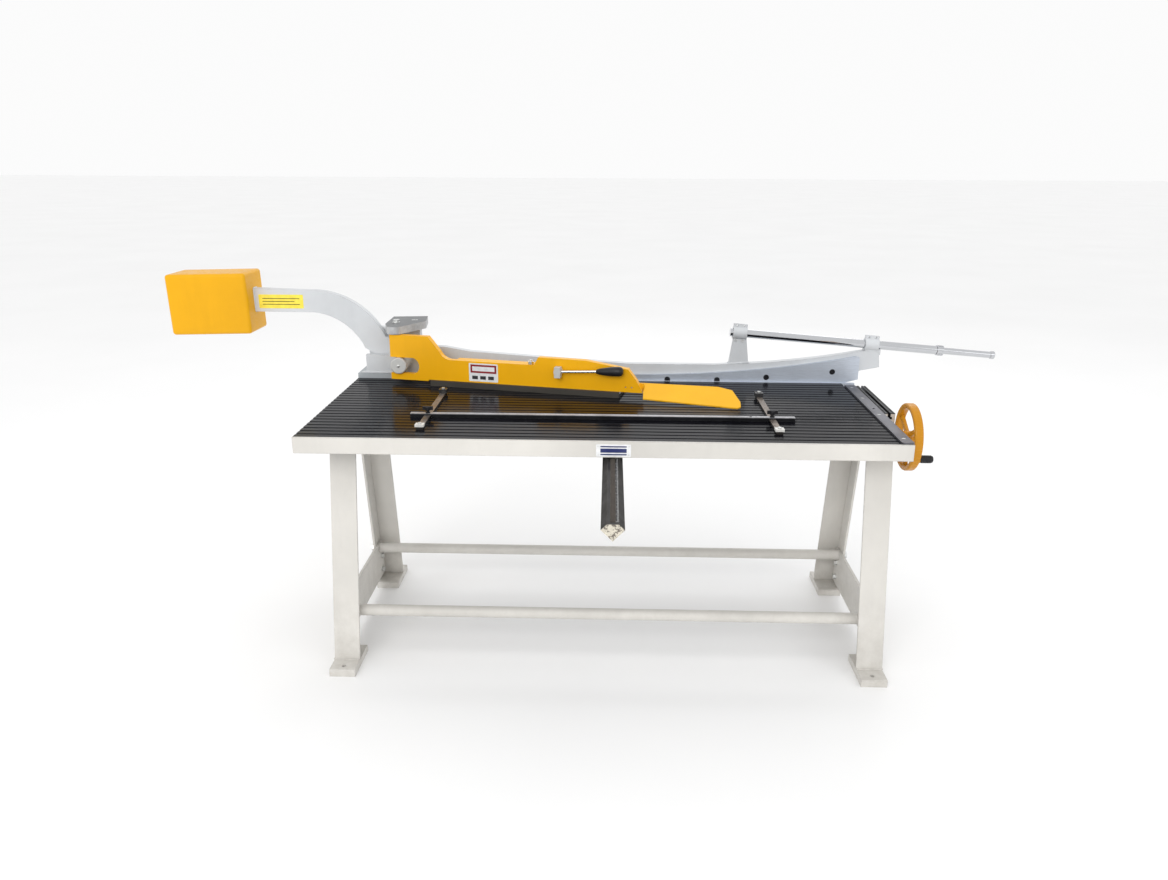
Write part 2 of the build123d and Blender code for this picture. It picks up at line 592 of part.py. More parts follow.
COLLARS = (36.0, (990 - HANDLE_P0[0]) * HANDLE_L / HANDLE_DX)


def handle_tube():
    """Tube with a closed left end and a narrower spigot that carries the lock ring."""
    tube = rod_x(0, HANDLE_L, 0, 0, HANDLE_R) + rod_x(HANDLE_L, HANDLE_L + 16, 0, 0, SPIGOT_R)
    return HANDLE * (tube - rod_x(6, HANDLE_L + 17, 0, 0, HANDLE_BORE))


def lock_ring():
    """Ring nut on the spigot; its outer mouth is clear of the rod."""
    ring = rod_x(HANDLE_L + 0.4, HANDLE_L + 24, 0, 0, 19.5)
    ring -= rod_x(HANDLE_L, HANDLE_L + 17, 0, 0, SPIGOT_R + RUN)
    ring -= rod_x(HANDLE_L, HANDLE_L + 25, 0, 0, RING_MOUTH_R)
    for i in range(12):
        notch = Rot(i * 30, 0, 0) * block(HANDLE_L + 4, HANDLE_L + 20, -1.5, 1.5, 18.3, 21)
        ring -= notch
    return HANDLE * ring


def handle_rod():
    """Sliding extension rod with a rounded end knob."""
    end = HANDLE_L + 24 + ROD_OUT
    knob = rod_x(end, end + 16, 0, 0, 15.0)
    knob = fillet(knob.edges(), 3)
    return HANDLE * (rod_x(end - ROD_LENGTH, end + 1, 0, 0, ROD_R) + knob)


# ---- hold-down ----------------------------------------------------------------------------
HOLD_TOP = 1004.0
SLOT_Z0, SLOT_Z1 = PIVOT_Z - BOSS_R - 0.2, PIVOT_Z + BOSS_R + 0.2
STUD_S1, STUD_OFF1 = 545.0, WEB_T / 2
STUD_S2, STUD_OFF2 = 800.0, WEB_T + 22


def hold_down_outline():
    """Front view of the beam along its own length: jaw, neck, boss for the cam and sloped nose."""
    jaw_end = 92.0
    return [
        Line((0, 836), (148, 836)),
        Line((148, 836), (153, WEB_Z0)),
        Line((153, WEB_Z0), (960, WEB_Z0)),
        Line((960, WEB_Z0), (938, 884)),
        Line((938, 884), (906, 925)),
        Line((906, 925), (752, 948)),
        Line((752, 948), (576, 950)),
        Line((576, 950), (560, 921)),
        Line((560, 921), (236, 921)),
        ThreePointArc((236, 921), (214, 929), (196, 950)),
        Line((196, 950), (152, HOLD_TOP)),
        Line((152, HOLD_TOP), (0, HOLD_TOP)),
        Line((0, HOLD_TOP), (0, SLOT_Z1)),
        Line((0, SLOT_Z1), (jaw_end, SLOT_Z1)),
        ThreePointArc((jaw_end, SLOT_Z1), (jaw_end + 22, PIVOT_Z), (jaw_end, SLOT_Z0)),
        Line((jaw_end, SLOT_Z0), (0, SLOT_Z0)),
        Line((0, SLOT_Z0), (0, 836)),
    ]


FLANGE_Z0, FLANGE_Z1 = 903.0, 917.0     # stiffening flange behind the web


def hold_down_beam():
    beam = side_plate(hold_down_outline(), 0, WEB_T)
    beam += block(250, 590, WEB_T, WEB_T + 40, FLANGE_Z0, FLANGE_Z1)
    beam += block(720, 900, WEB_T, WEB_T + 40, FLANGE_Z0, FLANGE_Z1)
    beam -= rod_y(CAM_S, -1, WEB_T + 1, CAM_Z, CAM_SHAFT_R + RUN)
    beam -= rod_z(STUD_S1, STUD_OFF1, WEB_Z0 - 1, 960, STUD_R + RUN)
    beam -= rod_z(STUD_S2, STUD_OFF2, 900, 920, STUD_R + RUN)
    for s, z in GUARD_SCREWS:
        beam -= rod_y(s, -1, WEB_T + 1, z, 3.0)
    return HOLD * beam


PAD_Z0, PAD_Z1 = TABLE_Z + 0.4, TABLE_Z + 12.4
PAD_S0, PAD_S1 = 160.0, 876.0
PAD_BACK = 372.0                        # rear edge of the pad, parallel to the blade
PAD_LIFT = CAM_HIGH - CAM_LOW
STUD_R = 6.0
CAM_SHAFT_R = 11.0


def pad_back(s):
    """Local depth at which the pad meets its rear line, at distance s along the beam."""
    return (PAD_BACK - HOLD_Y + s * sin(radians(SKEW))) / cos(radians(SKEW))


def pressure_pad():
    """Clamping plate under the beam: a lip in front of the web, the rear edge along the blade."""
    corners = [(PAD_S0, -8), (PAD_S1, -8), (PAD_S1, pad_back(PAD_S1)), (PAD_S0, pad_back(PAD_S0))]
    pad = flat_plate(corners, PAD_Z0, PAD_Z1)
    pad += block(PAD_S0, PAD_S1, -8, -0.6, PAD_Z0, WEB_Z0)
    pad += block(CAM_S - 32, CAM_S + 32, WEB_T + 2, WEB_T + 26, PAD_Z1 - 1, CAM_Z - CAM_HIGH - CAM_GAP)
    pad -= rod_z(STUD_S1, STUD_OFF1, PAD_Z0 - 1, PAD_Z1 + 1, STUD_R)
    pad -= rod_z(STUD_S2, STUD_OFF2, PAD_Z0 - 1, PAD_Z1 + 1, STUD_R)
    return HOLD * pad


def pad_studs():
    """Guide studs screwed into the pad, each with its nut above the beam."""
    studs = []
    for s, off, seat in ((STUD_S1, STUD_OFF1, 921.0), (STUD_S2, STUD_OFF2, FLANGE_Z1)):
        stud = rod_z(s, off, PAD_Z0, seat + 16, STUD_R)
        studs.append(HOLD * (stud + hex_z(s, off, seat + 0.6, seat + 10.6, 19.0)))
    return studs


def clamp_cam():
    """Snail cam: its radius falls evenly over the lever's travel, then closes on a round back."""
    steps = 12
    points = []
    for i in range(steps + 1):
        a = -90 - CAM_TURN * i / steps
        r = CAM_HIGH - PAD_LIFT * i / steps
        points.append((CAM_S + r * cos(radians(a)), CAM_Z + r * sin(radians(a))))
    back = -90 - CAM_TURN - 75
    end = -90 + 55 - 360
    arc = ThreePointArc(points[-1], cam_point(CAM_LOW, back), cam_point(CAM_LOW, end))
    nose = Line(cam_point(CAM_LOW, end), points[0])
    return side_plate([Polyline(*points), arc, nose], WEB_T + 3, WEB_T + 23)


def cam_point(r, angle):
    return CAM_S + r * cos(radians(angle)), CAM_Z + r * sin(radians(angle))


LEVER_TILT = 3.6
LEVER_Y = -21.0
LEVER = Pos(CAM_S, LEVER_Y, CAM_Z) * Rot(0, -LEVER_TILT, 0)     # local X along the lever rod


def cam_shaft():
    """Cam behind the web and a clamp hub in front, on one shaft through the beam."""
    shaft = rod_y(CAM_S, -1, WEB_T + 24, CAM_Z, CAM_SHAFT_R)
    hub = rod_y(CAM_S, LEVER_Y - 11, -0.4, CAM_Z, 13.0)
    hub += block(CAM_S - 11, CAM_S + 11, LEVER_Y - 11, -6, CAM_Z - 21, CAM_Z + 17)
    return HOLD * (shaft + hub + clamp_cam() - LEVER * rod_x(-8, 24, 0, 0, 5.0))


def lever_rod():
    return HOLD * LEVER * rod_x(-8, 190, 0, 0, 5.0)


def lever_grip():
    """Tapered grip, thicker at its outer end."""
    profile = [(142, 0), (142, 7), (152, 11), (205, 17.5), (226, 17.5), (236, 12), (238, 6), (238, 0)]
    grip = revolve(make_face(polygon(*profile)), Axis.X, 360)
    return HOLD * LEVER * (grip - rod_x(141, 190, 0, 0, 5.0))


GUARD_SCREWS = ((898.0, 860.0), (920.0, 860.0))
GUARD_SLOPE = 0.42                      # rise of the guard sheet over its depth
GUARD_T = 4.0


def hold_down_guard():
    """Sloping finger guard of sheet steel, carried on the nose of the beam."""
    plan = [(968, -38), (962, -2), (962, WEB_T + 2), (935, WEB_T + 3), (935, 46), (1219, 50),
            (1270, 36), (1304, -22), (1308, -46), (1297, -55)]
    reach = 120.0
    slab = [(-reach, 0), (reach, 0), (reach, GUARD_T), (-reach, GUARD_T)]
    lean = Pos(0, -55, TABLE_Z + 2) * Rot(degrees(atan2(GUARD_SLOPE, 1)), 0, 0)
    sheet = flat_plate(plan, TABLE_Z, TABLE_Z + 80) & (lean * end_plate(slab, 900, 1350))
    guard = sheet + block(888, 960, WEB_T, WEB_T + GUARD_T, 846, 872)
    for s, z in GUARD_SCREWS:
        guard -= rod_y(s, WEB_T - 1, WEB_T + GUARD_T + 1, z, 3.2)
    return HOLD * guard


def guard_screws():
    screws = []
    back = WEB_T + GUARD_T
    for s, z in GUARD_SCREWS:
        screws.append(HOLD * (rod_y(s, WEB_T - 18, back, z, 3.0) + hex_y(s, back, back + 4, z, 10.0)))
    return screws


# ---- front gauge --------------------------------------------------------------------------
def gauge_arm(x, y0):
    y1 = y0 + GAUGE_ARM_L
    arm = block(x - GAUGE_ARM_W / 2, x + GAUGE_ARM_W / 2, y0, y1, TABLE_Z, TABLE_Z + GAUGE_ARM_T)
    for y in (y0 + 12, y1 - 14):
        arm -= rod_z(x, y, TABLE_Z - 1, TABLE_Z + 9, 3.2)
    return arm


def gauge_arm_ends():
    """X, near Y, far Y and height of the small block on each end of each arm."""
    ends = []
    for x, y0 in GAUGE_ARMS:
        ends += [(x, y0, y0 + 24, 8), (x, y0 + GAUGE_ARM_L - 28, y0 + GAUGE_ARM_L, 14)]
    return ends


def gauge_arm_blocks():
    blocks = []
    z0 = TABLE_Z + GAUGE_ARM_T
    for x, y0, y1, height in gauge_arm_ends():
        end_block = block(x - 14, x + 14, y0, y1, z0, z0 + height)
        blocks.append(end_block - rod_z(x, (y0 + y1) / 2, z0 - 1, z0 + height + 1, 3.2))
    return blocks


def gauge_arm_screws():
    screws = []
    for x, y0, y1, height in gauge_arm_ends():
        z = TABLE_Z + GAUGE_ARM_T + height
        y = (y0 + y1) / 2
        screws.append(rod_z(x, y, TABLE_Z, z, 3.1) + rod_z(x, y, z, z + 4, 6.0))
    return screws


def front_gauge_bar():
    front, back, top = GAUGE_Y - GAUGE_D / 2, GAUGE_Y + GAUGE_D / 2, GAUGE_Z0 + GAUGE_H
    bar = block(GAUGE_X0, GAUGE_X1, front, back, GAUGE_Z0, top)
    bar = chamfer(bar.edges().filter_by(Axis.X).group_by(Axis.Z)[-1], 1.5)
    for x, _ in GAUGE_ARMS:
        bar -= block(x - GAUGE_ARM_W / 2 - 0.3, x + GAUGE_ARM_W / 2 + 0.3, GAUGE_Y - 20, GAUGE_Y + 20,
                     GAUGE_Z0 - 1, TABLE_Z + GAUGE_ARM_T + 0.3)
        bar -= rod_z(x, GAUGE_Y, TABLE_Z + GAUGE_ARM_T, top + 1, 4.0 + RUN)
    return bar - rod_z(460, GAUGE_Y, GAUGE_Z0 - 1, top + 1, 4.5)


def gauge_clamp(x):
    """Wing screw that clamps the gauge bar on the arm below."""
    top = GAUGE_Z0 + GAUGE_H
    screw = rod_z(x, GAUGE_Y, TABLE_Z + GAUGE_ARM_T + 0.6, top + 12, 4.0)
    head = rod_z(x, GAUGE_Y, top + 8, top + 20, 9.0)
    wing = block(x - 17, x + 17, GAUGE_Y - 2.5, GAUGE_Y + 2.5, top + 10, top + 22)
    return screw + fillet(head.edges(), 1.5) + rod_z(x, GAUGE_Y, top + 0.4, top + 4, 8.0) + wing


# ---- back gauge ---------------------------------------------------------------------------
def bar_outline(grow=0.0):
    """Square bar on edge with a flat top; a hole for it is grown all round."""
    half = BAR_HALF + grow * 1.414
    flat = BAR_FLAT + grow
    return [(BAR_X, BAR_Z - half), (BAR_X + half, BAR_Z), (BAR_X + half - flat, BAR_Z + flat),
            (BAR_X - half + flat, BAR_Z + flat), (BAR_X - half, BAR_Z)]


RACK_W = 14.0
RACK_BASE_Z = RACK_PITCH_Z - 1.25 * MODULE - 5.0
RACK_Y0, RACK_Y1 = -880.0, -118.0


def guide_bar():
    bar = side_plate(polygon(*bar_outline()), BAR_Y0, BAR_Y1)
    bar -= block(BAR_X - RACK_W / 2, BAR_X + RACK_W / 2, RACK_Y0, RACK_Y1, RACK_BASE_Z, BAR_Z + 40)
    for dx in (-10, 10):
        bar -= rod_y(BAR_X + dx, BAR_Y1 - 30, BAR_Y1 + 1, BAR_Z, 5.0)
    return bar


def gauge_rack():
    """Toothed strip let into the flat top of the bar; a tooth space lies under the shaft at rest."""
    pitch = pi * MODULE
    top, root = RACK_PITCH_Z + MODULE, RACK_PITCH_Z - 1.25 * MODULE
    half_top = pitch / 4 - MODULE * tan(radians(20)) - 0.15
    half_root = pitch / 4 + 1.25 * MODULE * tan(radians(20)) - 0.15
    points = [(RACK_Y0, RACK_BASE_Z), (RACK_Y0, root)]
    first = int((RACK_Y0 + 4 - SHAFT_Y) / pitch)
    last = int((RACK_Y1 - 4 - SHAFT_Y) / pitch)
    for i in range(first, last):
        y = SHAFT_Y + (i + 0.5) * pitch
        points += [(y - half_root, root), (y - half_top, top), (y + half_top, top), (y + half_root, root)]
    points += [(RACK_Y1, root), (RACK_Y1, RACK_BASE_Z)]
    return end_plate(points, BAR_X - RACK_W / 2, BAR_X + RACK_W / 2)


def pinion():
    """Spur pinion with one tooth pointing straight down at rest."""
    root_r, top_r = PITCH_R - 1.25 * MODULE, PITCH_R + MODULE
    points = []
    for i in range(PINION_TEETH):
        for r, half in ((root_r, 1.75), (PITCH_R, 1.27), (top_r, 0.5)):
            points.append((r, -half / r, i))
        for r, half in ((top_r, 0.5), (PITCH_R, 1.27), (root_r, 1.75)):
            points.append((r, half / r, i))
    ring = []
    for r, turn, i in points:
        a = -pi / 2 + 2 * pi * i / PINION_TEETH + turn
        ring.append((SHAFT_Y + r * cos(a), SHAFT_Z + r * sin(a)))
    gear = end_plate(ring, BAR_X - 6, BAR_X + 6)
    hub = rod_x(BAR_X + 6, BAR_X + 20, SHAFT_Y, SHAFT_Z, 14.0)
    return gear + hub - rod_x(BAR_X - 7, BAR_X + 21, SHAFT_Y, SHAFT_Z, SHAFT_R)


def cross_shaft():
    """Shaft with a shoulder beside the right bearing plate and a threaded end for the wheel nut."""
    shoulder_x = SHAFT_BRACKETS[1] + 8.4
    shaft = rod_x(-52, WHEEL_X + 18, SHAFT_Y, SHAFT_Z, SHAFT_R)
    shaft += rod_x(shoulder_x, shoulder_x + 12, SHAFT_Y, SHAFT_Z, 15.0)
    return shaft + rod_x(WHEEL_X + 18, WHEEL_X + 32, SHAFT_Y, SHAFT_Z, WHEEL_THREAD_R)


WHEEL_THREAD_R = 6.0


def shaft_bracket(x):
    """Hanging bearing plate beside the pinion."""
    plate = block(x - 8, x + 8, SHAFT_Y - 28, SHAFT_Y + 28, SHAFT_Z - 19, PLATE_Z0)
    return plate - rod_x(x - 9, x + 9, SHAFT_Y, SHAFT_Z, SHAFT_R + RUN)


SHAFT_BRACKETS = (BAR_X - 46.0, BAR_X + 46.0)


def shaft_bush():
    bush = rod_x(TABLE_X1, FRAME_X1, SHAFT_Y, SHAFT_Z, SHAFT_R + 5)
    bush += rod_x(FRAME_X1, FRAME_X1 + 5, SHAFT_Y, SHAFT_Z, SHAFT_R + 11)
    return bush - rod_x(TABLE_X1 - 1, FRAME_X1 + 6, SHAFT_Y, SHAFT_Z, SHAFT_R + RUN)


def handwheel():
    left, right = WHEEL_X - RIM_W / 2, WHEEL_X + RIM_W / 2
    hub = rod_x(WHEEL_X - 24, WHEEL_X + 18, SHAFT_Y, SHAFT_Z, 20.0)
    rim = rod_x(left, right, SHAFT_Y, SHAFT_Z, WHEEL_R)
    rim -= rod_x(left - 1, right + 1, SHAFT_Y, SHAFT_Z, WHEEL_R - RIM_T)
    rim = fillet(rim.edges(), 6)
    wheel = rim + hub
    for i in range(3):
        a = SPOKE_TURN + 120 * i
        spoke = block(-5, 5, -8, 8, 16, WHEEL_R - RIM_T + 3)
        wheel += Pos(WHEEL_X, SHAFT_Y, SHAFT_Z) * Rot(a, 0, 0) * spoke
    wheel += rod_x(left, right, *grip_centre(), 13.0)
    wheel -= rod_x(WHEEL_X - 30, WHEEL_X + 30, SHAFT_Y, SHAFT_Z, SHAFT_R)
    return wheel - rod_x(WHEEL_X - 12, WHEEL_X + 20, *grip_centre(), 4.0)


SPOKE_TURN = 60.0
GRIP_TURN, GRIP_ORBIT = 120.0, 96.0


def grip_centre():
    """Y and Z of the crank grip, in the rim between two spokes."""
    a = radians(GRIP_TURN)
    return SHAFT_Y - GRIP_ORBIT * sin(a), SHAFT_Z + GRIP_ORBIT * cos(a)


def wheel_fasteners():
    """Nut on the shaft end and the shoulder bolt of the crank grip."""
    x = WHEEL_X + 18
    nut = rod_x(x, x + 3, SHAFT_Y, SHAFT_Z, 13.0) + hex_x(x + 3, x + 13, SHAFT_Y, SHAFT_Z, 19.0)
    nut -= rod_x(x - 1, x + 14, SHAFT_Y, SHAFT_Z, WHEEL_THREAD_R)
    y, z = grip_centre()
    end = WHEEL_X + RIM_W / 2 + GRIP_L
    bolt = rod_x(WHEEL_X - 12, end + 4, y, z, 4.0) + rod_x(end, end + 4, y, z, 6.5)
    return [nut, bolt]


GRIP_L = 37.0
HEAD_POCKET = 5.0


def wheel_grip():
    """Loose grip on the shoulder bolt, with a pocket round the bolt's head."""
    y, z = grip_centre()
    x0 = WHEEL_X + RIM_W / 2 + 1.4
    x1 = WHEEL_X + RIM_W / 2 + GRIP_L
    grip = rod_x(x0, x1 + HEAD_POCKET, y, z, 13.0)
    grip = fillet(grip.edges(), 4)
    return grip - rod_x(x0 - 1, x1, y, z, 4.0 + RUN) - rod_x(x1 - 0.4, x1 + HEAD_POCKET + 1, y, z, 7.0)


GUIDE_BLOCKS = (-85.0, 295.0)


def guide_block(y):
    """Bearing block hung under the table plate; the bar slides through it."""
    shape = block(-100, 122, y - 25, y + 25, 700, PLATE_Z0)
    shape -= side_plate(polygon(*bar_outline(0.25)), y - 26, y + 26)
    for x in GUIDE_BOLTS:
        shape -= rod_z(x, y, 699, PLATE_Z0 + 1, 6.2)
    return shape


GUIDE_BOLTS = (-84.0, 106.0)


def guide_bolts():
    bolts = []
    for y in GUIDE_BLOCKS:
        for x in GUIDE_BOLTS:
            bolts.append(rod_z(x, y, 698, PLATE_Z0 + 12, 6.0) + hex_z(x, y, 690, 700, 19.0))
    return bolts


def gauge_bracket():
    """Upright plate screwed on the rear end of the bar; it carries the stop beam."""
    plate = block(BAR_X - 45, BAR_X + 45, BAR_Y1, BAR_Y1 + 14, BAR_Z - 26, TABLE_Z - 6)
    for dx in (-10, 10):
        plate -= rod_y(BAR_X + dx, BAR_Y1 - 1, BAR_Y1 + 15, BAR_Z, 5.2)
    for dx in (-30, 30):
        plate -= rod_y(BAR_X + dx, BAR_Y1 - 1, BAR_Y1 + 15, TABLE_Z - 24, 5.0)
    return plate


def bracket_screws():
    screws = []
    y = BAR_Y1 + 14
    for x in (BAR_X - 10, BAR_X + 10):
        screws.append(rod_y(x, BAR_Y1 - 26, y, BAR_Z, 5.0) + hex_y(x, y, y + 7, BAR_Z, 16.0))
    return screws


def back_gauge_beam():
    """Angle across the back of the shear; its upright face stops the sheet."""
    y = BAR_Y1 + 14
    face = block(-540, 640, y, y + 8, TABLE_Z - 42, TABLE_Z - 4)
    ledge = block(-540, 640, y, y + 40, TABLE_Z - 42, TABLE_Z - 34)
    beam = face + ledge
    for dx in (-30, 30):
        beam -= rod_y(BAR_X + dx, y - 1, y + 9, TABLE_Z - 24, 5.0)
    return beam


def beam_screws():
    screws = []
    y, z = BAR_Y1 + 22, TABLE_Z - 24
    for x in (BAR_X - 30, BAR_X + 30):
        screws.append(rod_y(x, BAR_Y1, y, z, 5.0) + hex_y(x, y, y + 6, z, 16.0))
    return screws


# ---- write --------------------------------------------------------------------------------
def main():
    os.makedirs("parts", exist_ok=True)
    for side, side_name in ((-1, "left"), (1, "right")):
        for end, end_name in ((-1, "front"), (1, "rear")):
            save(f"leg_{end_name}_{side_name}", leg(side, end))
    save("side_members", side_member(-1), side_member(1))
    save("stand_tops", stand_top(-1), stand_top(1))
    save("stretchers", stretcher(-1), stretcher(1))
    save("m16_bolts", *stretcher_bolts(), *bracket_bolts(), *cap_screws())
    save("m12_bolts", *member_bolt_set(), *guide_bolts(), cap_bolt())
    save("small_screws", *rail_screws(), *slot_rail_screws(), *guard_screws(), *gauge_arm_screws())
    save("table_frame", table_frame())
    save("side_beam_right", side_beam_right())
    save("table_top", table_top())
    save("lower_blade_bed", lower_blade_bed())
    save("lower_blade", lower_blade())
    save("lower_blade_bolts", *lower_blade_bolts())
    save("squaring_rail", squaring_rail())
    save("side_slot_rail", side_slot_rail())
    save("pivot_bracket", pivot_bracket())
    save("pivot_base", pivot_base())
    save("front_cheek", front_cheek())
    save("rear_cheek", rear_cheek())
    save("pivot_cap", pivot_cap())
    save("pivot_pin", pivot_pin())
    save("pivot_nut", pivot_nut())
    save("blade_arm", blade_arm())
    save("arm_bush", arm_bush())
    save("upper_blade", upper_blade())
    save("upper_blade_bolts", *upper_blade_bolts())
    save("counterweight_box", counterweight_box())
    save("counterweight_fill", counterweight_fill())
    save("handle_posts", handle_post(), handle_block())
    save("handle_tube", handle_tube())
    save("lock_ring", lock_ring())
    save("handle_rod", handle_rod())
    save("hold_down_beam", hold_down_beam())
    save("pressure_pad", pressure_pad())
    save("pad_studs", *pad_studs())
    save("cam_shaft", cam_shaft())
    save("lever_rod", lever_rod())
    save("lever_grip", lever_grip())
    save("hold_down_guard", hold_down_guard())
    save("gauge_arms", *[gauge_arm(x, y0) for x, y0 in GAUGE_ARMS])
    save("gauge_arm_blocks", *gauge_arm_blocks())
    save("front_gauge_bar", front_gauge_bar())
    for (x, _), name in zip(GAUGE_ARMS, ("left", "right")):
        save(f"gauge_clamp_{name}", gauge_clamp(x))
    save("guide_bar", guide_bar())
    save("gauge_rack", gauge_rack())
    save("guide_blocks", *[guide_block(y) for y in GUIDE_BLOCKS])
    save("pinion", pinion())
    save("cross_shaft", cross_shaft())
    save("shaft_brackets", *[shaft_bracket(x) for x in SHAFT_BRACKETS])
    save("shaft_bush", shaft_bush())
    save("handwheel", handwheel())
    save("wheel_fasteners", *wheel_fasteners())
    save("wheel_grip", wheel_grip())
    save("gauge_bracket", gauge_bracket())
    save("back_gauge_beam", back_gauge_beam())
    save("back_gauge_screws", *bracket_screws(), *beam_screws())


main()
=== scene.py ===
import math
import random

import bmesh
import bpy
from mathutils import Matrix, Vector

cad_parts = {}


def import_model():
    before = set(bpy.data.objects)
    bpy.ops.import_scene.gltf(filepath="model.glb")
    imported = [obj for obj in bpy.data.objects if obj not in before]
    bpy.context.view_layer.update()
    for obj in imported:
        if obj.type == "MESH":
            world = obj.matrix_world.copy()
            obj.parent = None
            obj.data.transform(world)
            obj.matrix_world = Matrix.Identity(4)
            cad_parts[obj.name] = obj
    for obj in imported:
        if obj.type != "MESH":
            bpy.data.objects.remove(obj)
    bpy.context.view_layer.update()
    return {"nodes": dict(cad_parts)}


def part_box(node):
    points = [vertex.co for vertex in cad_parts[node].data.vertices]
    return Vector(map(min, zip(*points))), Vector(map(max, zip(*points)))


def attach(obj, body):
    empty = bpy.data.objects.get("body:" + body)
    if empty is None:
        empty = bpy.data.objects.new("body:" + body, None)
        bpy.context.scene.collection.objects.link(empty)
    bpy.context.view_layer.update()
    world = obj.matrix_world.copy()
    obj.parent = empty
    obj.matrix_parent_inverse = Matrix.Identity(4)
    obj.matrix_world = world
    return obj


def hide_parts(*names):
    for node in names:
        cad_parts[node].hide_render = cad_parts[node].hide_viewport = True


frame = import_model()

rng = random.Random(7)

STAND = "stand_and_table"
ARM = "blade_arm_body"
GAUGE = "back_gauge"

# ---- places taken from the frame ---------------------------------------------------------
apron_low, apron_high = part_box("table_frame")
rail_low, rail_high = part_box("squaring_rail")
bar_low, bar_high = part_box("guide_bar")
rack_low, rack_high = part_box("gauge_rack")
arm_low, arm_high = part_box("blade_arm")
pin_low, pin_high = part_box("pivot_pin")

TO_FRONT = Matrix.Rotation(math.radians(-90), 4, "Z")   # turns local X towards the viewer
HOLD = Matrix.Translation((-0.823, 0.313, 0)) @ Matrix.Rotation(math.radians(-12), 4, "Z")
PIVOT_Z = (pin_low[2] + pin_high[2]) / 2
PIVOT_X = (pin_low[0] + pin_high[0]) / 2


# ---- material helpers ----------------------------------------------------------------------
class Shader:
    """A material with one principled shader, and short ways to add nodes to it."""

    def __init__(self, name, **values):
        self.material = bpy.data.materials.new(name)
        self.material.use_nodes = True
        self.tree = self.material.node_tree
        self.tree.nodes.clear()
        out = self.tree.nodes.new("ShaderNodeOutputMaterial")
        self.bsdf = self.tree.nodes.new("ShaderNodeBsdfPrincipled")
        self.link(self.bsdf.outputs[0], out.inputs["Surface"])
        for socket, value in values.items():
            self.bsdf.inputs[socket.replace("_", " ")].default_value = value
        self.place = self.add("ShaderNodeTexCoord").outputs["Object"]

    def add(self, kind, **values):
        node = self.tree.nodes.new(kind)
        for key, value in values.items():
            setattr(node, key, value)
        return node

    def link(self, source, target):
        self.tree.links.new(source, target)

    def stretched(self, scale):
        mapping = self.add("ShaderNodeMapping")
        mapping.inputs["Scale"].default_value = scale
        self.link(self.place, mapping.inputs["Vector"])
        return mapping.outputs[0]

    def noise(self, scale, detail=4.0, rough=0.55, vector=None, distortion=0.0):
        node = self.add("ShaderNodeTexNoise")
        node.inputs["Scale"].default_value = scale
        node.inputs["Detail"].default_value = detail
        node.inputs["Roughness"].default_value = rough
        node.inputs["Distortion"].default_value = distortion
        self.link(vector or self.place, node.inputs["Vector"])
        return node.outputs["Fac"]

    def cells(self, scale, vector=None):
        node = self.add("ShaderNodeTexVoronoi")
        node.inputs["Scale"].default_value = scale
        self.link(vector or self.place, node.inputs["Vector"])
        return node.outputs["Distance"]

    def ramp(self, source, low, high, start=0.0, end=1.0):
        node = self.add("ShaderNodeMapRange")
        node.inputs["From Min"].default_value = low
        node.inputs["From Max"].default_value = high
        node.inputs["To Min"].default_value = start
        node.inputs["To Max"].default_value = end
        self.link(source, node.inputs["Value"])
        return node.outputs[0]

    def math(self, operation, a, b):
        node = self.add("ShaderNodeMath", operation=operation)
        for socket, value in zip(node.inputs, (a, b)):
            if isinstance(value, (int, float)):
                socket.default_value = value
            else:
                self.link(value, socket)
        return node.outputs[0]

    def mix(self, mask, first, second):
        """Colour that goes from first to second as the mask goes from 0 to 1."""
        node = self.add("ShaderNodeMix", data_type="RGBA")
        self.link(mask, node.inputs["Factor"])
        for socket, value in ((node.inputs[6], first), (node.inputs[7], second)):
            if isinstance(value, tuple):
                socket.default_value = (*value, 1.0)
            else:
                self.link(value, socket)
        return node.outputs[2]

    def edges(self, radius, low=0.02, high=0.25):
        """Mask that is 1 along convex and concave edges."""
        bevel = self.add("ShaderNodeBevel", samples=4)
        bevel.inputs["Radius"].default_value = radius
        geometry = self.add("ShaderNodeNewGeometry")
        dot = self.add("ShaderNodeVectorMath", operation="DOT_PRODUCT")
        self.link(bevel.outputs[0], dot.inputs[0])
        self.link(geometry.outputs["Normal"], dot.inputs[1])
        return self.ramp(self.math("SUBTRACT", 1.0, dot.outputs["Value"]), low, high)

    def height(self):
        node = self.add("ShaderNodeSeparateXYZ")
        self.link(self.place, node.inputs[0])
        return node.outputs[2]

    def facing(self, direction, low=0.6, high=0.9):
        """Mask that is 1 on faces turned towards the direction."""
        geometry = self.add("ShaderNodeNewGeometry")
        dot = self.add("ShaderNodeVectorMath", operation="DOT_PRODUCT")
        dot.inputs[1].default_value = direction
        self.link(geometry.outputs["Normal"], dot.inputs[0])
        return self.ramp(dot.outputs["Value"], low, high)

    def bump(self, source, strength, distance, edge_radius=0.0):
        node = self.add("ShaderNodeBump")
        node.inputs["Strength"].default_value = strength
        node.inputs["Distance"].default_value = distance
        self.link(source, node.inputs["Height"])
        if edge_radius:
            bevel = self.add("ShaderNodeBevel", samples=4)
            bevel.inputs["Radius"].default_value = edge_radius
            self.link(bevel.outputs[0], node.inputs["Normal"])
        self.link(node.outputs[0], self.bsdf.inputs["Normal"])

    def colour(self, source):
        self.link(source, self.bsdf.inputs["Base Color"])

    def rough(self, source):
        self.link(source, self.bsdf.inputs["Roughness"])


def tint(colour, factor):
    return tuple(min(1.0, c * factor) for c in colour)


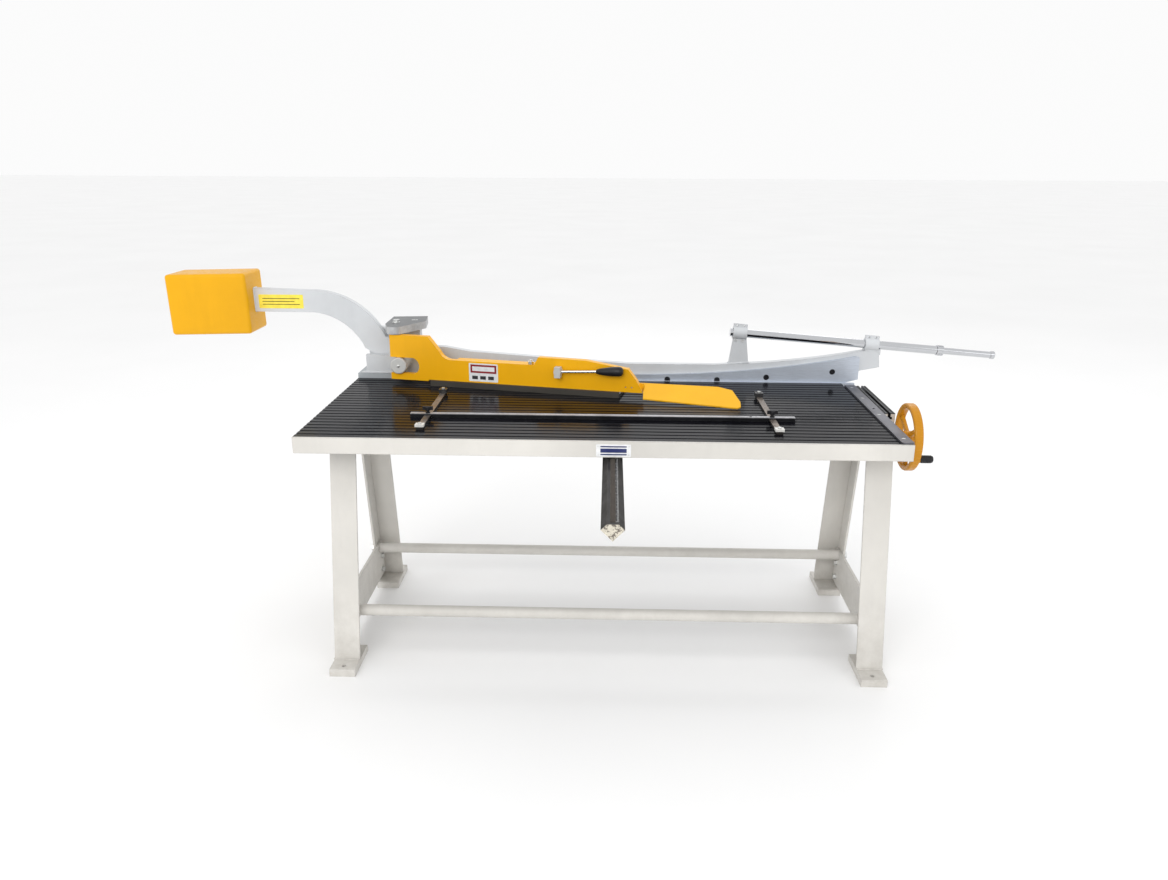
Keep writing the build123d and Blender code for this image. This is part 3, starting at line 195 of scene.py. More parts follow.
def paint(name, colour, gloss=0.35, worn=0.35, primer=(0.30, 0.29, 0.28), peel=0.12, dusty=0.0,
          round_mm=1.2):
    """Sprayed enamel: cloudy tone, orange peel, scuffs, chipped edges and dust near the floor."""
    s = Shader(name, Metallic=0.0, Specular_IOR_Level=0.22, Coat_Weight=0.03, Coat_Roughness=0.18)
    cloud = s.ramp(s.noise(2.3, 5, 0.6), 0.35, 0.68)
    base = s.mix(cloud, tint(colour, 0.90), tint(colour, 1.05))
    streaks = s.ramp(s.noise(7.0, 6, 0.7, s.stretched((1.0, 1.0, 0.18))), 0.52, 0.74)
    base = s.mix(s.math("MULTIPLY", streaks, 0.22), base, tint(colour, 0.72))
    # darker along edges and in creases, in patches
    edge_darkening = s.math("MULTIPLY", s.edges(0.007, 0.01, 0.4), s.ramp(s.noise(38, 5, 0.65), 0.40, 0.62))
    base = s.mix(s.math("MULTIPLY", edge_darkening, 0.42), base, tint(colour, 0.40))
    chip_noise = s.ramp(s.noise(140, 6, 0.75), 0.50, 0.60)
    chips = s.math("MULTIPLY", s.edges(0.0014, 0.05, 0.3), chip_noise)
    base = s.mix(s.math("MULTIPLY", chips, worn), base, primer)
    if dusty:
        dust = s.math("MULTIPLY", s.ramp(s.height(), 0.30, 0.0), s.ramp(s.noise(19, 6, 0.7), 0.36, 0.66))
        base = s.mix(s.math("MULTIPLY", dust, dusty), base, (0.33, 0.30, 0.26))
    s.colour(base)
    scuff = s.ramp(s.noise(55, 6, 0.7, s.stretched((1.0, 1.0, 3.0))), 0.45, 0.7)
    s.rough(s.ramp(s.math("ADD", scuff, chips), 0.0, 1.4, gloss, min(0.9, gloss + 0.28)))
    s.bump(s.noise(520, 2, 0.5), peel, 0.0004, round_mm / 1000)
    return s.material


def steel(name, colour, gloss=0.28, grain=(1.0, 60.0, 60.0), stain=(0.16, 0.12, 0.09), stained=0.25,
          round_mm=0.5, metallic=1.0):
    """Ground or turned steel: fine lay lines, handling marks and light staining."""
    s = Shader(name, Metallic=metallic)
    lay = s.noise(34, 3, 0.6, s.stretched(grain))
    blotch = s.ramp(s.noise(9, 6, 0.65), 0.45, 0.75)
    base = s.mix(s.ramp(lay, 0.3, 0.7), tint(colour, 0.80), tint(colour, 1.12))
    spots = s.math("MULTIPLY", blotch, s.ramp(s.noise(170, 5, 0.7), 0.5, 0.66))
    base = s.mix(s.math("MULTIPLY", spots, stained), base, stain)
    base = s.mix(s.math("MULTIPLY", s.edges(0.0012, 0.05, 0.35), 0.35), base, tint(colour, 1.35))
    s.colour(base)
    s.rough(s.ramp(s.math("ADD", lay, blotch), 0.3, 1.4, gloss, gloss + 0.22))
    s.bump(lay, 0.10, 0.0003, round_mm / 1000)
    return s.material


def chrome(name, colour):
    """Polished plating with faint fingerprints and hairline scratches."""
    s = Shader(name, Metallic=1.0)
    smear = s.ramp(s.noise(26, 6, 0.7, distortion=0.6), 0.46, 0.72)
    hair = s.ramp(s.noise(90, 3, 0.8, s.stretched((0.3, 8.0, 8.0))), 0.58, 0.7)
    s.colour(s.mix(s.math("MULTIPLY", smear, 0.25), colour, tint(colour, 0.75)))
    s.rough(s.ramp(s.math("ADD", smear, s.math("MULTIPLY", hair, 0.5)), 0.0, 1.5, 0.07, 0.26))
    s.bump(hair, 0.05, 0.0002, 0.0005)
    return s.material


def moulded(name, colour, gloss=0.42):
    """Moulded plastic: fine leathery grain, polished where hands touch it."""
    s = Shader(name, Metallic=0.0, Specular_IOR_Level=0.3)
    grain = s.cells(900)
    worn = s.ramp(s.noise(24, 5, 0.6), 0.4, 0.68)
    s.colour(s.mix(worn, tint(colour, 0.8), tint(colour, 1.7)))
    s.rough(s.ramp(worn, 0.0, 1.0, gloss + 0.12, gloss - 0.12))
    s.bump(grain, 0.22, 0.0004, 0.001)
    return s.material


def facing_tone_and_painted_light(name, side, face, direction, metallic=0.6, gloss=0.30, speckle=0.0):
    """Dark bar stock whose faces turned one way take their own colour: machined or worn metal on some bars,
    painted light and painted shade on others.
    """
    s = Shader(name, Metallic=metallic, Specular_IOR_Level=0.14)
    lay = s.noise(40, 4, 0.6, s.stretched((1.0, 12.0, 12.0)))
    patch = s.ramp(s.noise(16, 6, 0.7), 0.36, 0.66)
    bright = s.mix(patch, tint(face, 0.72), tint(face, 1.10))
    if speckle:
        specks = s.math("MULTIPLY", s.ramp(s.noise(95, 5, 0.8), 0.50, 0.56), speckle)
        bright = s.mix(specks, bright, (0.05, 0.035, 0.03))
    # faces turned towards direction take the facing colour; on the cap, gauge bar and gauge arms this is
    # painted light and painted shade
    base = s.mix(s.facing(direction), s.mix(patch, side, tint(side, 1.7)), bright)
    base = s.mix(s.math("MULTIPLY", s.edges(0.0012, 0.04, 0.3), 0.45), base, tint(face, 1.1))
    s.colour(base)
    s.rough(s.ramp(s.math("ADD", lay, patch), 0.2, 1.5, gloss, gloss + 0.22))
    s.bump(lay, 0.10, 0.0003, 0.0006)
    return s.material


def table_finish():
    """Black table: glossy between its grooves, with lay lines along them and lighter ridges, part wear and
    part painted highlight.
    """
    s = Shader("table_black_finish", Metallic=0.0, Specular_IOR_Level=0.075)
    lay = s.noise(18, 4, 0.6, s.stretched((0.6, 26.0, 26.0)))
    cloud = s.ramp(s.noise(1.7, 5, 0.6, s.stretched((1.0, 2.0, 1.0))), 0.38, 0.68)
    base = s.mix(cloud, (0.003, 0.003, 0.005), (0.011, 0.011, 0.015))
    ridge = s.ramp(s.noise(48, 6, 0.7, s.stretched((0.3, 2.0, 1.0))), 0.36, 0.62)
    # lighter along the ridges: worn ridges, and a painted highlight where light catches the ribs
    rubbed_and_lit_ridges = s.math("MULTIPLY", s.edges(0.0012, 0.02, 0.3), ridge)
    base = s.mix(s.math("MULTIPLY", rubbed_and_lit_ridges, 0.45), base, (0.10, 0.105, 0.12))
    scratch = s.ramp(s.noise(30, 4, 0.8, s.stretched((14.0, 0.5, 1.0))), 0.66, 0.72)
    base = s.mix(s.math("MULTIPLY", scratch, 0.12), base, (0.15, 0.15, 0.16))
    s.colour(base)
    s.rough(s.ramp(s.math("ADD", lay, cloud), 0.2, 1.5, 0.10, 0.26))
    s.bump(lay, 0.05, 0.0004, 0.0005)
    return s.material


def gauge_block_paint():
    """Black rear blocks and white front blocks: the paint changes with depth along the arms."""
    s = Shader("gauge_block_paint", Metallic=0.0)
    depth = s.add("ShaderNodeSeparateXYZ")
    s.link(s.place, depth.inputs[0])
    rear = s.ramp(depth.outputs[1], -0.20, -0.10)
    white = s.mix(s.ramp(s.noise(70, 5, 0.7), 0.40, 0.66), (0.78, 0.77, 0.74), (0.60, 0.59, 0.56))
    black = s.mix(s.ramp(s.noise(60, 5, 0.7), 0.40, 0.66), (0.012, 0.012, 0.013), (0.035, 0.035, 0.037))
    base = s.mix(rear, white, black)
    chips = s.math("MULTIPLY", s.edges(0.0012, 0.05, 0.3), s.ramp(s.noise(160, 6, 0.75), 0.48, 0.58))
    s.colour(s.mix(s.math("MULTIPLY", chips, 0.5), base, (0.26, 0.26, 0.27)))
    s.rough(s.ramp(chips, 0.0, 1.0, 0.34, 0.5))
    s.bump(s.noise(520, 2, 0.5), 0.1, 0.0004, 0.001)
    return s.material


def cast_iron(name, colour):
    s = Shader(name, Metallic=0.7)
    grain = s.noise(260, 6, 0.7)
    s.colour(s.mix(s.ramp(s.noise(6, 5, 0.6), 0.35, 0.7), tint(colour, 0.7), tint(colour, 1.3)))
    s.rough(s.ramp(grain, 0.3, 0.7, 0.5, 0.75))
    s.bump(grain, 0.5, 0.0006, 0.001)
    return s.material


def printed(name, colour, gloss=0.3):
    """Enamelled or printed label stock."""
    s = Shader(name, Metallic=0.0, Coat_Weight=0.4, Coat_Roughness=0.12)
    s.colour(s.mix(s.ramp(s.noise(60, 5, 0.65), 0.38, 0.66), tint(colour, 0.88), tint(colour, 1.04)))
    s.rough(s.ramp(s.noise(130, 4, 0.6), 0.3, 0.7, gloss, gloss + 0.15))
    s.bump(s.noise(420, 2, 0.5), 0.05, 0.0002)
    return s.material


UPWARDS, FORWARDS = (0.0, 0.0, 1.0), (0.0, -1.0, 0.0)

CREAM = paint("cream_enamel", (0.66, 0.64, 0.60), 0.36, dusty=0.35)
ARM_GREY = paint("pale_grey_enamel", (0.65, 0.67, 0.69), 0.34)
YELLOW = paint("yellow_enamel", (0.96, 0.475, 0.005), 0.30, primer=(0.34, 0.30, 0.24))
WEIGHT_YELLOW = paint("deep_yellow_enamel", (0.79, 0.395, 0.004), 0.32, primer=(0.34, 0.28, 0.2),
                      round_mm=2.5)
GUARD_YELLOW = paint("bright_yellow_enamel", (0.90, 0.47, 0.012), 0.28, primer=(0.5, 0.42, 0.25))
WHEEL_GOLD = paint("golden_enamel", (0.58, 0.25, 0.012), 0.20, worn=0.5, primer=(0.5, 0.38, 0.2),
                   round_mm=2.0)
BLACK_PAINT = paint("black_enamel", (0.014, 0.014, 0.016), 0.34, worn=0.6, primer=(0.20, 0.20, 0.21))
TABLE = table_finish()
BLADE = steel("ground_blade_steel", (0.58, 0.63, 0.71), 0.30, stained=0.06, metallic=0.45)
RAIL = steel("ground_rail_steel", (0.17, 0.17, 0.19), 0.34, grain=(40.0, 1.0, 40.0), stained=0.15)
BASE_GREY = paint("mid_grey_enamel", (0.42, 0.45, 0.47), 0.38, worn=0.6, primer=(0.5, 0.5, 0.5))
# pivot cap: top faces painted darker and side faces painted lighter, a painted shade and a painted light
CAP_STEEL = facing_tone_and_painted_light("cap_plate_steel", (0.36, 0.365, 0.37), (0.22, 0.225, 0.23), UPWARDS, 0.30, 0.36)
BOSS = paint("light_grey_boss_enamel", (0.60, 0.60, 0.58), 0.34, worn=0.5, primer=(0.3, 0.3, 0.3))
PAD = steel("dull_pad_steel", (0.13, 0.12, 0.105), 0.42, stained=0.6)
SCREW = steel("zinc_plated_steel", (0.72, 0.73, 0.72), 0.30, grain=(8.0, 8.0, 8.0))
BLACK_OXIDE = steel("black_oxide_steel", (0.045, 0.045, 0.05), 0.36, grain=(8.0, 8.0, 8.0))
SHAFT = steel("turned_steel", (0.46, 0.47, 0.49), 0.24, grain=(60.0, 2.0, 2.0))
RACK = facing_tone_and_painted_light("oiled_rack_steel", (0.05, 0.045, 0.04), (0.10, 0.075, 0.06), UPWARDS, 0.7, 0.3, 0.7)
GUIDE_BAR = facing_tone_and_painted_light("guide_bar_black", (0.012, 0.011, 0.011), (0.60, 0.56, 0.47), FORWARDS, 0.0, 0.34, 0.8)
# front gauge bar: top faces painted light grey, a painted highlight along the top of the dark bar
GAUGE_BAR = facing_tone_and_painted_light("gauge_bar_steel", (0.014, 0.014, 0.016), (0.42, 0.42, 0.44), UPWARDS, 0.5, 0.26, 0.2)
# gauge arms: top faces painted a lighter brown, painted glints on the dark arms
GAUGE_ARM = facing_tone_and_painted_light("gauge_arm_steel", (0.030, 0.027, 0.025), (0.26, 0.22, 0.19), UPWARDS, 0.6, 0.24, 0.5)
GAUGE_BLOCK = gauge_block_paint()
BRONZE = steel("turned_bronze", (0.60, 0.42, 0.20), 0.28, grain=(8.0, 40.0, 8.0), stain=(0.2, 0.1, 0.04))
CHROME = chrome("polished_chrome", (0.56, 0.57, 0.59))
BRIGHT_ROD = chrome("polished_rod", (0.74, 0.75, 0.77))
GRIP = moulded("black_grip_plastic", (0.014, 0.014, 0.016))
BALLAST = cast_iron("raw_ballast_iron", (0.20, 0.19, 0.18))
WHITE_STOCK = printed("white_label_stock", (0.86, 0.87, 0.88))
NAVY_STOCK = printed("navy_label_ink", (0.015, 0.025, 0.13))
RED_STOCK = printed("red_label_ink", (0.30, 0.015, 0.02))
DARK_STOCK = printed("dark_label_ink", (0.03, 0.03, 0.035))
YELLOW_STOCK = printed("yellow_label_stock", (0.95, 0.78, 0.06))

LEGS = ("leg_front_left", "leg_front_right", "leg_rear_left", "leg_rear_right")
FINISH = {
    CREAM: (*LEGS, "side_members", "stand_tops", "stretchers", "table_frame", "side_beam_right",
            "lower_blade_bed", "pivot_bracket"),
    ARM_GREY: ("blade_arm", "front_cheek", "rear_cheek", "handle_posts"),
    BASE_GREY: ("pivot_base",),
    CAP_STEEL: ("pivot_cap",),
    RAIL: ("squaring_rail",),
    GAUGE_BAR: ("front_gauge_bar",),
    GAUGE_ARM: ("gauge_arms",),
    GAUGE_BLOCK: ("gauge_arm_blocks",),
    YELLOW: ("hold_down_beam",),
    WEIGHT_YELLOW: ("counterweight_box",),
    GUARD_YELLOW: ("hold_down_guard",),
    WHEEL_GOLD: ("handwheel",),
    TABLE: ("table_top",),
    BLACK_PAINT: ("side_slot_rail", "guide_blocks", "back_gauge_beam"),
    GUIDE_BAR: ("guide_bar",),
    GRIP: ("lever_grip", "wheel_grip"),
    BLADE: ("lower_blade", "upper_blade"),
    BOSS: ("pivot_pin", "cam_shaft"),
    PAD: ("pressure_pad",),
    BALLAST: ("counterweight_fill",),
    CHROME: ("handle_tube", "handle_rod", "lock_ring"),
    BRIGHT_ROD: ("lever_rod",),
    SHAFT: ("cross_shaft", "pinion", "shaft_brackets", "gauge_bracket"),
    RACK: ("gauge_rack",),
    BLACK_OXIDE: ("upper_blade_bolts", "gauge_clamp_left", "gauge_clamp_right"),
    SCREW: ("m16_bolts", "m12_bolts", "small_screws", "lower_blade_bolts", "pivot_nut", "pad_studs",
            "wheel_fasteners", "back_gauge_screws"),
    BRONZE: ("arm_bush", "shaft_bush"),
}
for material, names in FINISH.items():
    for node_name in names:
        for slot in frame["nodes"][node_name].material_slots:
            slot.material = material


# ---- mesh helpers ----------------------------------------------------------------------------
def piece(name, mesh, material, body, smooth=True):
    obj = bpy.data.objects.new(name, mesh)
    bpy.context.scene.collection.objects.link(obj)
    obj.data.materials.append(material)
    for face in obj.data.polygons:
        face.use_smooth = smooth
    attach(obj, body)
    return obj


def from_bmesh(name, bm):
    bmesh.ops.recalc_face_normals(bm, faces=bm.faces[:])
    mesh = bpy.data.meshes.new(name)
    bm.to_mesh(mesh)
    bm.free()
    return mesh


def add_slab(bm, place, x0, x1, y0, y1, z0, z1, corner=0.0, steps=4):
    """Plate with rounded corners in its X-Z face, y0 to y1 thick."""
    outline = []
    for cx, cz, turn in ((x1 - corner, z1 - corner, 0), (x0 + corner, z1 - corner, 90),
                         (x0 + corner, z0 + corner, 180), (x1 - corner, z0 + corner, 270)):
        for i in range(steps + 1 if corner else 1):
            a = math.radians(turn + (90 * i / steps if corner else 0))
            outline.append((cx + corner * math.cos(a), cz + corner * math.sin(a)))
    front = [bm.verts.new(place @ Vector((x, y0, z))) for x, z in outline]
    back = [bm.verts.new(place @ Vector((x, y1, z))) for x, z in outline]
    bm.faces.new(front)
    bm.faces.new(list(reversed(back)))
    count = len(outline)
    for i in range(count):
        j = (i + 1) % count
        bm.faces.new((front[i], back[i], back[j], front[j]))


def plate(name, place, box, material, body, corner=0.0):
    """Flat plate as a piece of its own."""
    bm = bmesh.new()
    add_slab(bm, place, *box, corner=corner)
    return piece(name, from_bmesh(name, bm), material, body, smooth=False)


def add_lathe(bm, profile, place, segments=32):
    """Solid of revolution about place's X axis; profile is (along, radius), from end to end."""
    rings = []
    for along, radius in profile:
        if radius == 0:
            rings.append([bm.verts.new(place @ Vector((along, 0, 0)))])
            continue
        ring = []
        for i in range(segments):
            a = 2 * math.pi * i / segments
            ring.append(bm.verts.new(place @ Vector((along, radius * math.cos(a), radius * math.sin(a)))))
        rings.append(ring)
    for first, second in zip(rings, rings[1:]):
        for i in range(segments):
            j = (i + 1) % segments
            if len(first) == 1:
                bm.faces.new((first[0], second[j], second[i]))
            elif len(second) == 1:
                bm.faces.new((first[i], first[j], second[0]))
            else:
                bm.faces.new((first[i], first[j], second[j], second[i]))


def smooth_profile(points, steps=5):
    """Profile through the given points, rounded by a spline."""
    result = []
    for i in range(len(points) - 1):
        p0, p1 = points[max(i - 1, 0)], points[i]
        p2, p3 = points[i + 1], points[min(i + 2, len(points) - 1)]
        for k in range(steps):
            t = k / steps
            value = []
            for a, b, c, d in zip(p0, p1, p2, p3):
                value.append(0.5 * (2 * b + (c - a) * t + (2 * a - 5 * b + 4 * c - d) * t * t
                                    + (3 * b - a - 3 * c + d) * t ** 3))
            result.append((value[0], max(0.0, value[1])))
    result.append(points[-1])
    return result


def weld(name, points, radius, body, material, closed=False):
    """Weld bead: a rippled round seam along a polyline."""
    bm = bmesh.new()
    path = [Vector(p) for p in points]
    if closed:
        path.append(path[0])
    ripple = radius * 0.9
    for a, b in zip(path, path[1:]):
        length = (b - a).length
        along = (b - a).normalized()
        side = along.cross(Vector((0, 0, 1)))
        if side.length < 0.1:
            side = along.cross(Vector((0, 1, 0)))
        side.normalize()
        up = side.cross(along)
        steps = max(4, int(length / (ripple / 4)))
        previous = None
        for i in range(steps + 1):
            d = length * i / steps
            scallop = (d / ripple) % 1.0
            r = radius * (0.86 + 0.16 * math.sqrt(1 - (2 * scallop - 1) ** 2) + rng.uniform(-0.02, 0.02))
            centre = a + along * d
            ring = []
            for k in range(10):
                angle = 2 * math.pi * k / 10
                ring.append(bm.verts.new(centre + side * (r * math.cos(angle)) + up * (r * math.sin(angle))))
            if previous:
                for k in range(10):
                    m = (k + 1) % 10
                    bm.faces.new((previous[k], previous[m], ring[m], ring[k]))
            else:
                bm.faces.new(list(reversed(ring)))
            previous = ring
        bm.faces.new(previous)
    return piece(name, from_bmesh(name, bm), material, body)


def add_socket_screw(bm, place, head_r, head_h, socket_r):
    """Socket-head screw: knurled cylindrical head with a hexagonal recess."""
    count = 36
    rings = []
    for along, radius in ((0, head_r), (head_h * 0.8, head_r), (head_h, head_r * 0.88)):
        ring = []
        for i in range(count):
            a = 2 * math.pi * i / count
            r = radius * (1.0 if i % 2 else 0.965) if along < head_h else radius
            ring.append(bm.verts.new(place @ Vector((along, r * math.cos(a), r * math.sin(a)))))
        rings.append(ring)
    for depth in (head_h, head_h * 0.45):
        ring = []
        for i in range(count):
            a = 2 * math.pi * i / count
            sector = (a + math.pi / 6) % (math.pi / 3) - math.pi / 6
            r = socket_r * math.cos(math.pi / 6) / math.cos(sector)
            ring.append(bm.verts.new(place @ Vector((depth, r * math.cos(a), r * math.sin(a)))))
        rings.append(ring)
    bm.faces.new(list(reversed(rings[0])))
    for first, second in zip(rings, rings[1:]):
        for i in range(count):
            j = (i + 1) % count
            bm.faces.new((first[i], first[j], second[j], second[i]))
    bm.faces.new(rings[-1])


# ---- labels, all blank or with plain bars only --------------------------------------------------
def front_sign():
    """Enamelled plate on the apron: two plain bars and four drive rivets."""
    face = apron_low[1]
    x0, x1, z0, z1 = -0.040, 0.066, apron_high[2] - 0.048, apron_high[2] - 0.009
    here = Matrix.Identity(4)
    plate("apron_plate", here, (x0, x1, face - 0.0014, face, z0, z1), WHITE_STOCK, STAND,
          0.003)
    bm = bmesh.new()
    for low, high in ((z1 - 0.009, z1 - 0.005), (z0 + 0.013, z0 + 0.026), (z0 + 0.005, z0 + 0.009)):
        add_slab(bm, here, x0 + 0.013, x1 - 0.013, face - 0.0018, face - 0.0014, low, high, 0.0015)
    piece("apron_plate_bars", from_bmesh("apron_plate_bars", bm), NAVY_STOCK, STAND,
          smooth=False)
    bm = bmesh.new()
    for x in (x0 + 0.006, x1 - 0.006):
        for z in (z0 + 0.006, z1 - 0.006):
            place = Matrix.Translation((x, face - 0.0014, z)) @ TO_FRONT
            add_lathe(bm, [(0, 0.0022), (0.0006, 0.0021), (0.0012, 0.0014), (0.0014, 0)], place, 20)
    piece("apron_plate_rivets", from_bmesh("apron_plate_rivets", bm), SCREW, STAND)


def beam_sign():
    """Label on the hold-down beam: a red frame over plain dark blocks."""
    top, low, left, right = 0.915, 0.847, 0.311, 0.423
    sheet, ink, t = -0.0004, -0.00055, 0.007      # front of the label and of its print, and the frame's width
    plate("beam_label", HOLD, (left, right, sheet, 0.0, low, top), WHITE_STOCK, STAND, 0.004)
    bm = bmesh.new()
    for x0, x1, z0, z1 in ((left + 0.006, right - 0.006, top - 0.012, top - 0.005),
                           (left + 0.006, right - 0.006, top - 0.036, top - 0.029),
                           (left + 0.006, left + 0.006 + t, top - 0.029, top - 0.010),
                           (right - 0.006 - t, right - 0.006, top - 0.029, top - 0.010)):
        add_slab(bm, HOLD, x0, x1, ink, sheet, z0, z1)
    piece("beam_label_frame", from_bmesh("beam_label_frame", bm), RED_STOCK, STAND,
          smooth=False)
    bm = bmesh.new()
    for i in range(3):
        x0 = left + 0.012 + i * 0.031
        add_slab(bm, HOLD, x0, x0 + 0.022, ink, sheet, low + 0.008, low + 0.021)
    piece("beam_label_blocks", from_bmesh("beam_label_blocks", bm), DARK_STOCK, STAND,
          smooth=False)


def weight_sign():
    """Yellow strip on the counterweight arm with two plain lines."""
    y = arm_low[1]
    x0, x1, z0, z1 = -1.338, -1.168, 1.082, 1.134
    here = Matrix.Identity(4)
    plate("arm_strip", here, (x0, x1, y - 0.0008, y + 0.001, z0, z1), YELLOW_STOCK, ARM,
          0.003)
    bm = bmesh.new()
    for i in range(3):
        z = z0 + 0.014 + 0.011 * i
        add_slab(bm, here, x0 + 0.014, x1 - 0.014 - 0.02 * (i % 2), y - 0.0012, y - 0.0006, z, z + 0.0022)
    piece("arm_strip_lines", from_bmesh("arm_strip_lines", bm), BLACK_PAINT, ARM,
          smooth=False)


front_sign()
beam_sign()
weight_sign()


def slot_rail_end():
    """Bare cut end of the slotted rail, with the slot's outline left open."""
    low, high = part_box("side_slot_rail")
    y1 = low[1]
    y0 = y1 - 0.0012
    here = Matrix.Identity(4)
    middle = (low[0] + high[0]) / 2
    bm = bmesh.new()
    add_slab(bm, here, low[0], high[0], y0, y1, low[2], high[2] - 0.020)
    for half_slot, below, above in ((0.010, 0.020, 0.012), (0.005, 0.012, 0.002)):
        z0, z1 = high[2] - below, high[2] - above
        add_slab(bm, here, low[0], middle - half_slot, y0, y1, z0, z1)
        add_slab(bm, here, middle + half_slot, high[0], y0, y1, z0, z1)
    piece("slot_rail_end", from_bmesh("slot_rail_end", bm), CREAM, STAND, smooth=False)


slot_rail_end()


# ---- scales ------------------------------------------------------------------------------------------
def ticks(name, material, body, start, end, step, mark):
    """Graduations: mark(bm, distance, length) adds one line; every fifth and tenth is longer."""
    bm = bmesh.new()
    count = int((end - start) / step)
    for i in range(count + 1):
        length = 1.0 if i % 10 == 0 else 0.75 if i % 5 == 0 else 0.5
        mark(bm, start + i * step, length)
    return piece(name, from_bmesh(name, bm), material, body, smooth=False)


def bar_tick(bm, y, length):
    z = bar_high[2]
    x1 = (bar_low[0] + bar_high[0]) / 2 + 0.0155
    add_slab(bm, Matrix.Identity(4), x1 - 0.008 * length, x1 - 0.0005, y - 0.0004, y + 0.0004,
             z - 0.0003, z + 0.00012)


def rail_tick(bm, y, length):
    z = rail_high[2]
    add_slab(bm, Matrix.Identity(4), rail_low[0] + 0.001, rail_low[0] + 0.001 + 0.009 * length, y - 0.0003,
             y + 0.0003, z - 0.0003, z + 0.00012)


ticks("guide_bar_scale", WHITE_STOCK, GAUGE, bar_low[1] + 0.02, rack_high[1], 0.005, bar_tick)
ticks("squaring_rail_scale", DARK_STOCK, STAND, rail_low[1] + 0.03, rail_high[1] - 0.01, 0.005,
      rail_tick)


# ---- welds -------------------------------------------------------------------------------------------
SMALL_BEAD, CHEEK_BEAD, WEIGHT_BEAD = 0.0032, 0.0034, 0.0042


def stand_welds():
    """Bead round the outside of each leg's foot."""
    foot_top, foot_face, leg_depth = 0.0262, 0.3385, 0.084
    for node_name in LEGS:
        low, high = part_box(node_name)
        end = 1 if low[1] > 0 else -1
        x_out, x_in = (high[0], low[0]) if low[0] > 0 else (low[0], high[0])
        y_out, y_in = end * foot_face, end * foot_face - end * leg_depth
        points = [(x_in, y_out, foot_top), (x_out, y_out, foot_top), (x_out, y_in, foot_top)]
        weld(f"{node_name}_weld", points, SMALL_BEAD, STAND, CREAM)


def arm_welds():
    """Bead round the counterweight's seat and along the foot of each handle post."""
    x = arm_low[0] + 0.001
    y0, y1 = arm_low[1], arm_high[1]
    z0, z1 = 1.0705, 1.1565
    corners = [(x, y0, z0), (x, y1, z0), (x, y1, z1), (x, y0, z1)]
    weld("counterweight_weld", corners, WEIGHT_BEAD, ARM, ARM_GREY, closed=True)
    for k, y in enumerate((y0 + 0.0045, y1 - 0.0045)):
        foot = [(0.450, y, 0.8838), (0.530, y, 0.8905)]
        weld(f"handle_post_weld_{k}", foot, SMALL_BEAD, ARM, ARM_GREY)


def cheek_welds():
    """Bead along the outer foot of each pedestal cheek."""
    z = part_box("front_cheek")[0][2] + 0.001
    for node_name, outer in (("front_cheek", 0), ("rear_cheek", 1)):
        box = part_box(node_name)
        x0, x1, y = box[0][0] + 0.004, box[1][0] - 0.004, box[outer][1]
        weld(f"{node_name}_weld", [(x0, y, z), (x1, y, z)], CHEEK_BEAD, STAND, ARM_GREY)


stand_welds()
arm_welds()
cheek_welds()


# ---- small fittings ------------------------------------------------------------------------------------
def collar_screws():
    """Two socket screws across the split of each handle collar."""
    start = Vector((0.455, 0.429, 1.005))
    end = Vector((1.237, 0.429, 0.943))
    axis = (end - start).normalized()
    up = Vector((0, -1, 0)).cross(axis) * -1
    length = (end - start).length
    bm = bmesh.new()
    for along in (0.036, (0.990 - start.x) * length / (end.x - start.x)):
        for offset in (-0.013, 0.013):
            centre = start + axis * (along + offset) + up * 0.028
            place = Matrix.Translation(centre + Vector((0, -0.0065, 0))) @ TO_FRONT
            add_socket_screw(bm, place, 0.0055, 0.0055, 0.003)
    piece("collar_screws", from_bmesh("collar_screws", bm), SCREW, ARM)


def lever_grip_piece():
    """Turned grip with a soft profile."""
    tilt = Matrix.Rotation(math.radians(-3.6), 4, "Y")
    place = HOLD @ Matrix.Translation((0.655, -0.021, 0.9065)) @ tilt
    outline = [(0.142, 0.0052), (0.142, 0.0068), (0.147, 0.0090), (0.160, 0.0122), (0.180, 0.0146),
               (0.200, 0.0168), (0.215, 0.0174), (0.228, 0.0166), (0.2355, 0.0120), (0.238, 0.0060)]
    profile = smooth_profile(outline, 6)
    profile.append((0.238, 0.0))
    bm = bmesh.new()
    add_lathe(bm, profile, place, 48)
    obj = piece("lever_grip_turned", from_bmesh("lever_grip_turned", bm), GRIP, "clamp_lever")
    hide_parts("lever_grip")


def wheel_grip_piece():
    """Ribbed grip: a row of raised rings between plain ends."""
    low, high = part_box("wheel_grip")
    middle = Vector((0, (low[1] + high[1]) / 2, (low[2] + high[2]) / 2))
    radius = (high[2] - low[2]) / 2
    length = high[0] - low[0]
    profile = [(0.0, 0.0042), (0.0, radius - 0.003), (0.0012, radius - 0.0012)]
    rings = 7
    step = (length - 0.008) / rings
    ring_shape = ((0.1, 0.0012), (0.25, 0.0003), (0.45, 0.0), (0.65, 0.0003), (0.8, 0.0012), (0.92, 0.0016))
    for i in range(rings):
        start = 0.003 + i * step
        for part, drop in ring_shape:
            profile.append((start + part * step, radius - drop))
    profile += [(length - 0.002, radius - 0.002), (length, radius - 0.0045), (length, 0.0072),
                (length - 0.0052, 0.0070), (length - 0.0052, 0.0042), (0.0, 0.0042)]
    bm = bmesh.new()
    add_lathe(bm, profile, Matrix.Translation((low[0], middle[1], middle[2])), 48)
    obj = piece("wheel_grip_ribbed", from_bmesh("wheel_grip_ribbed", bm), GRIP, "crank_grip")
    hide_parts("wheel_grip")


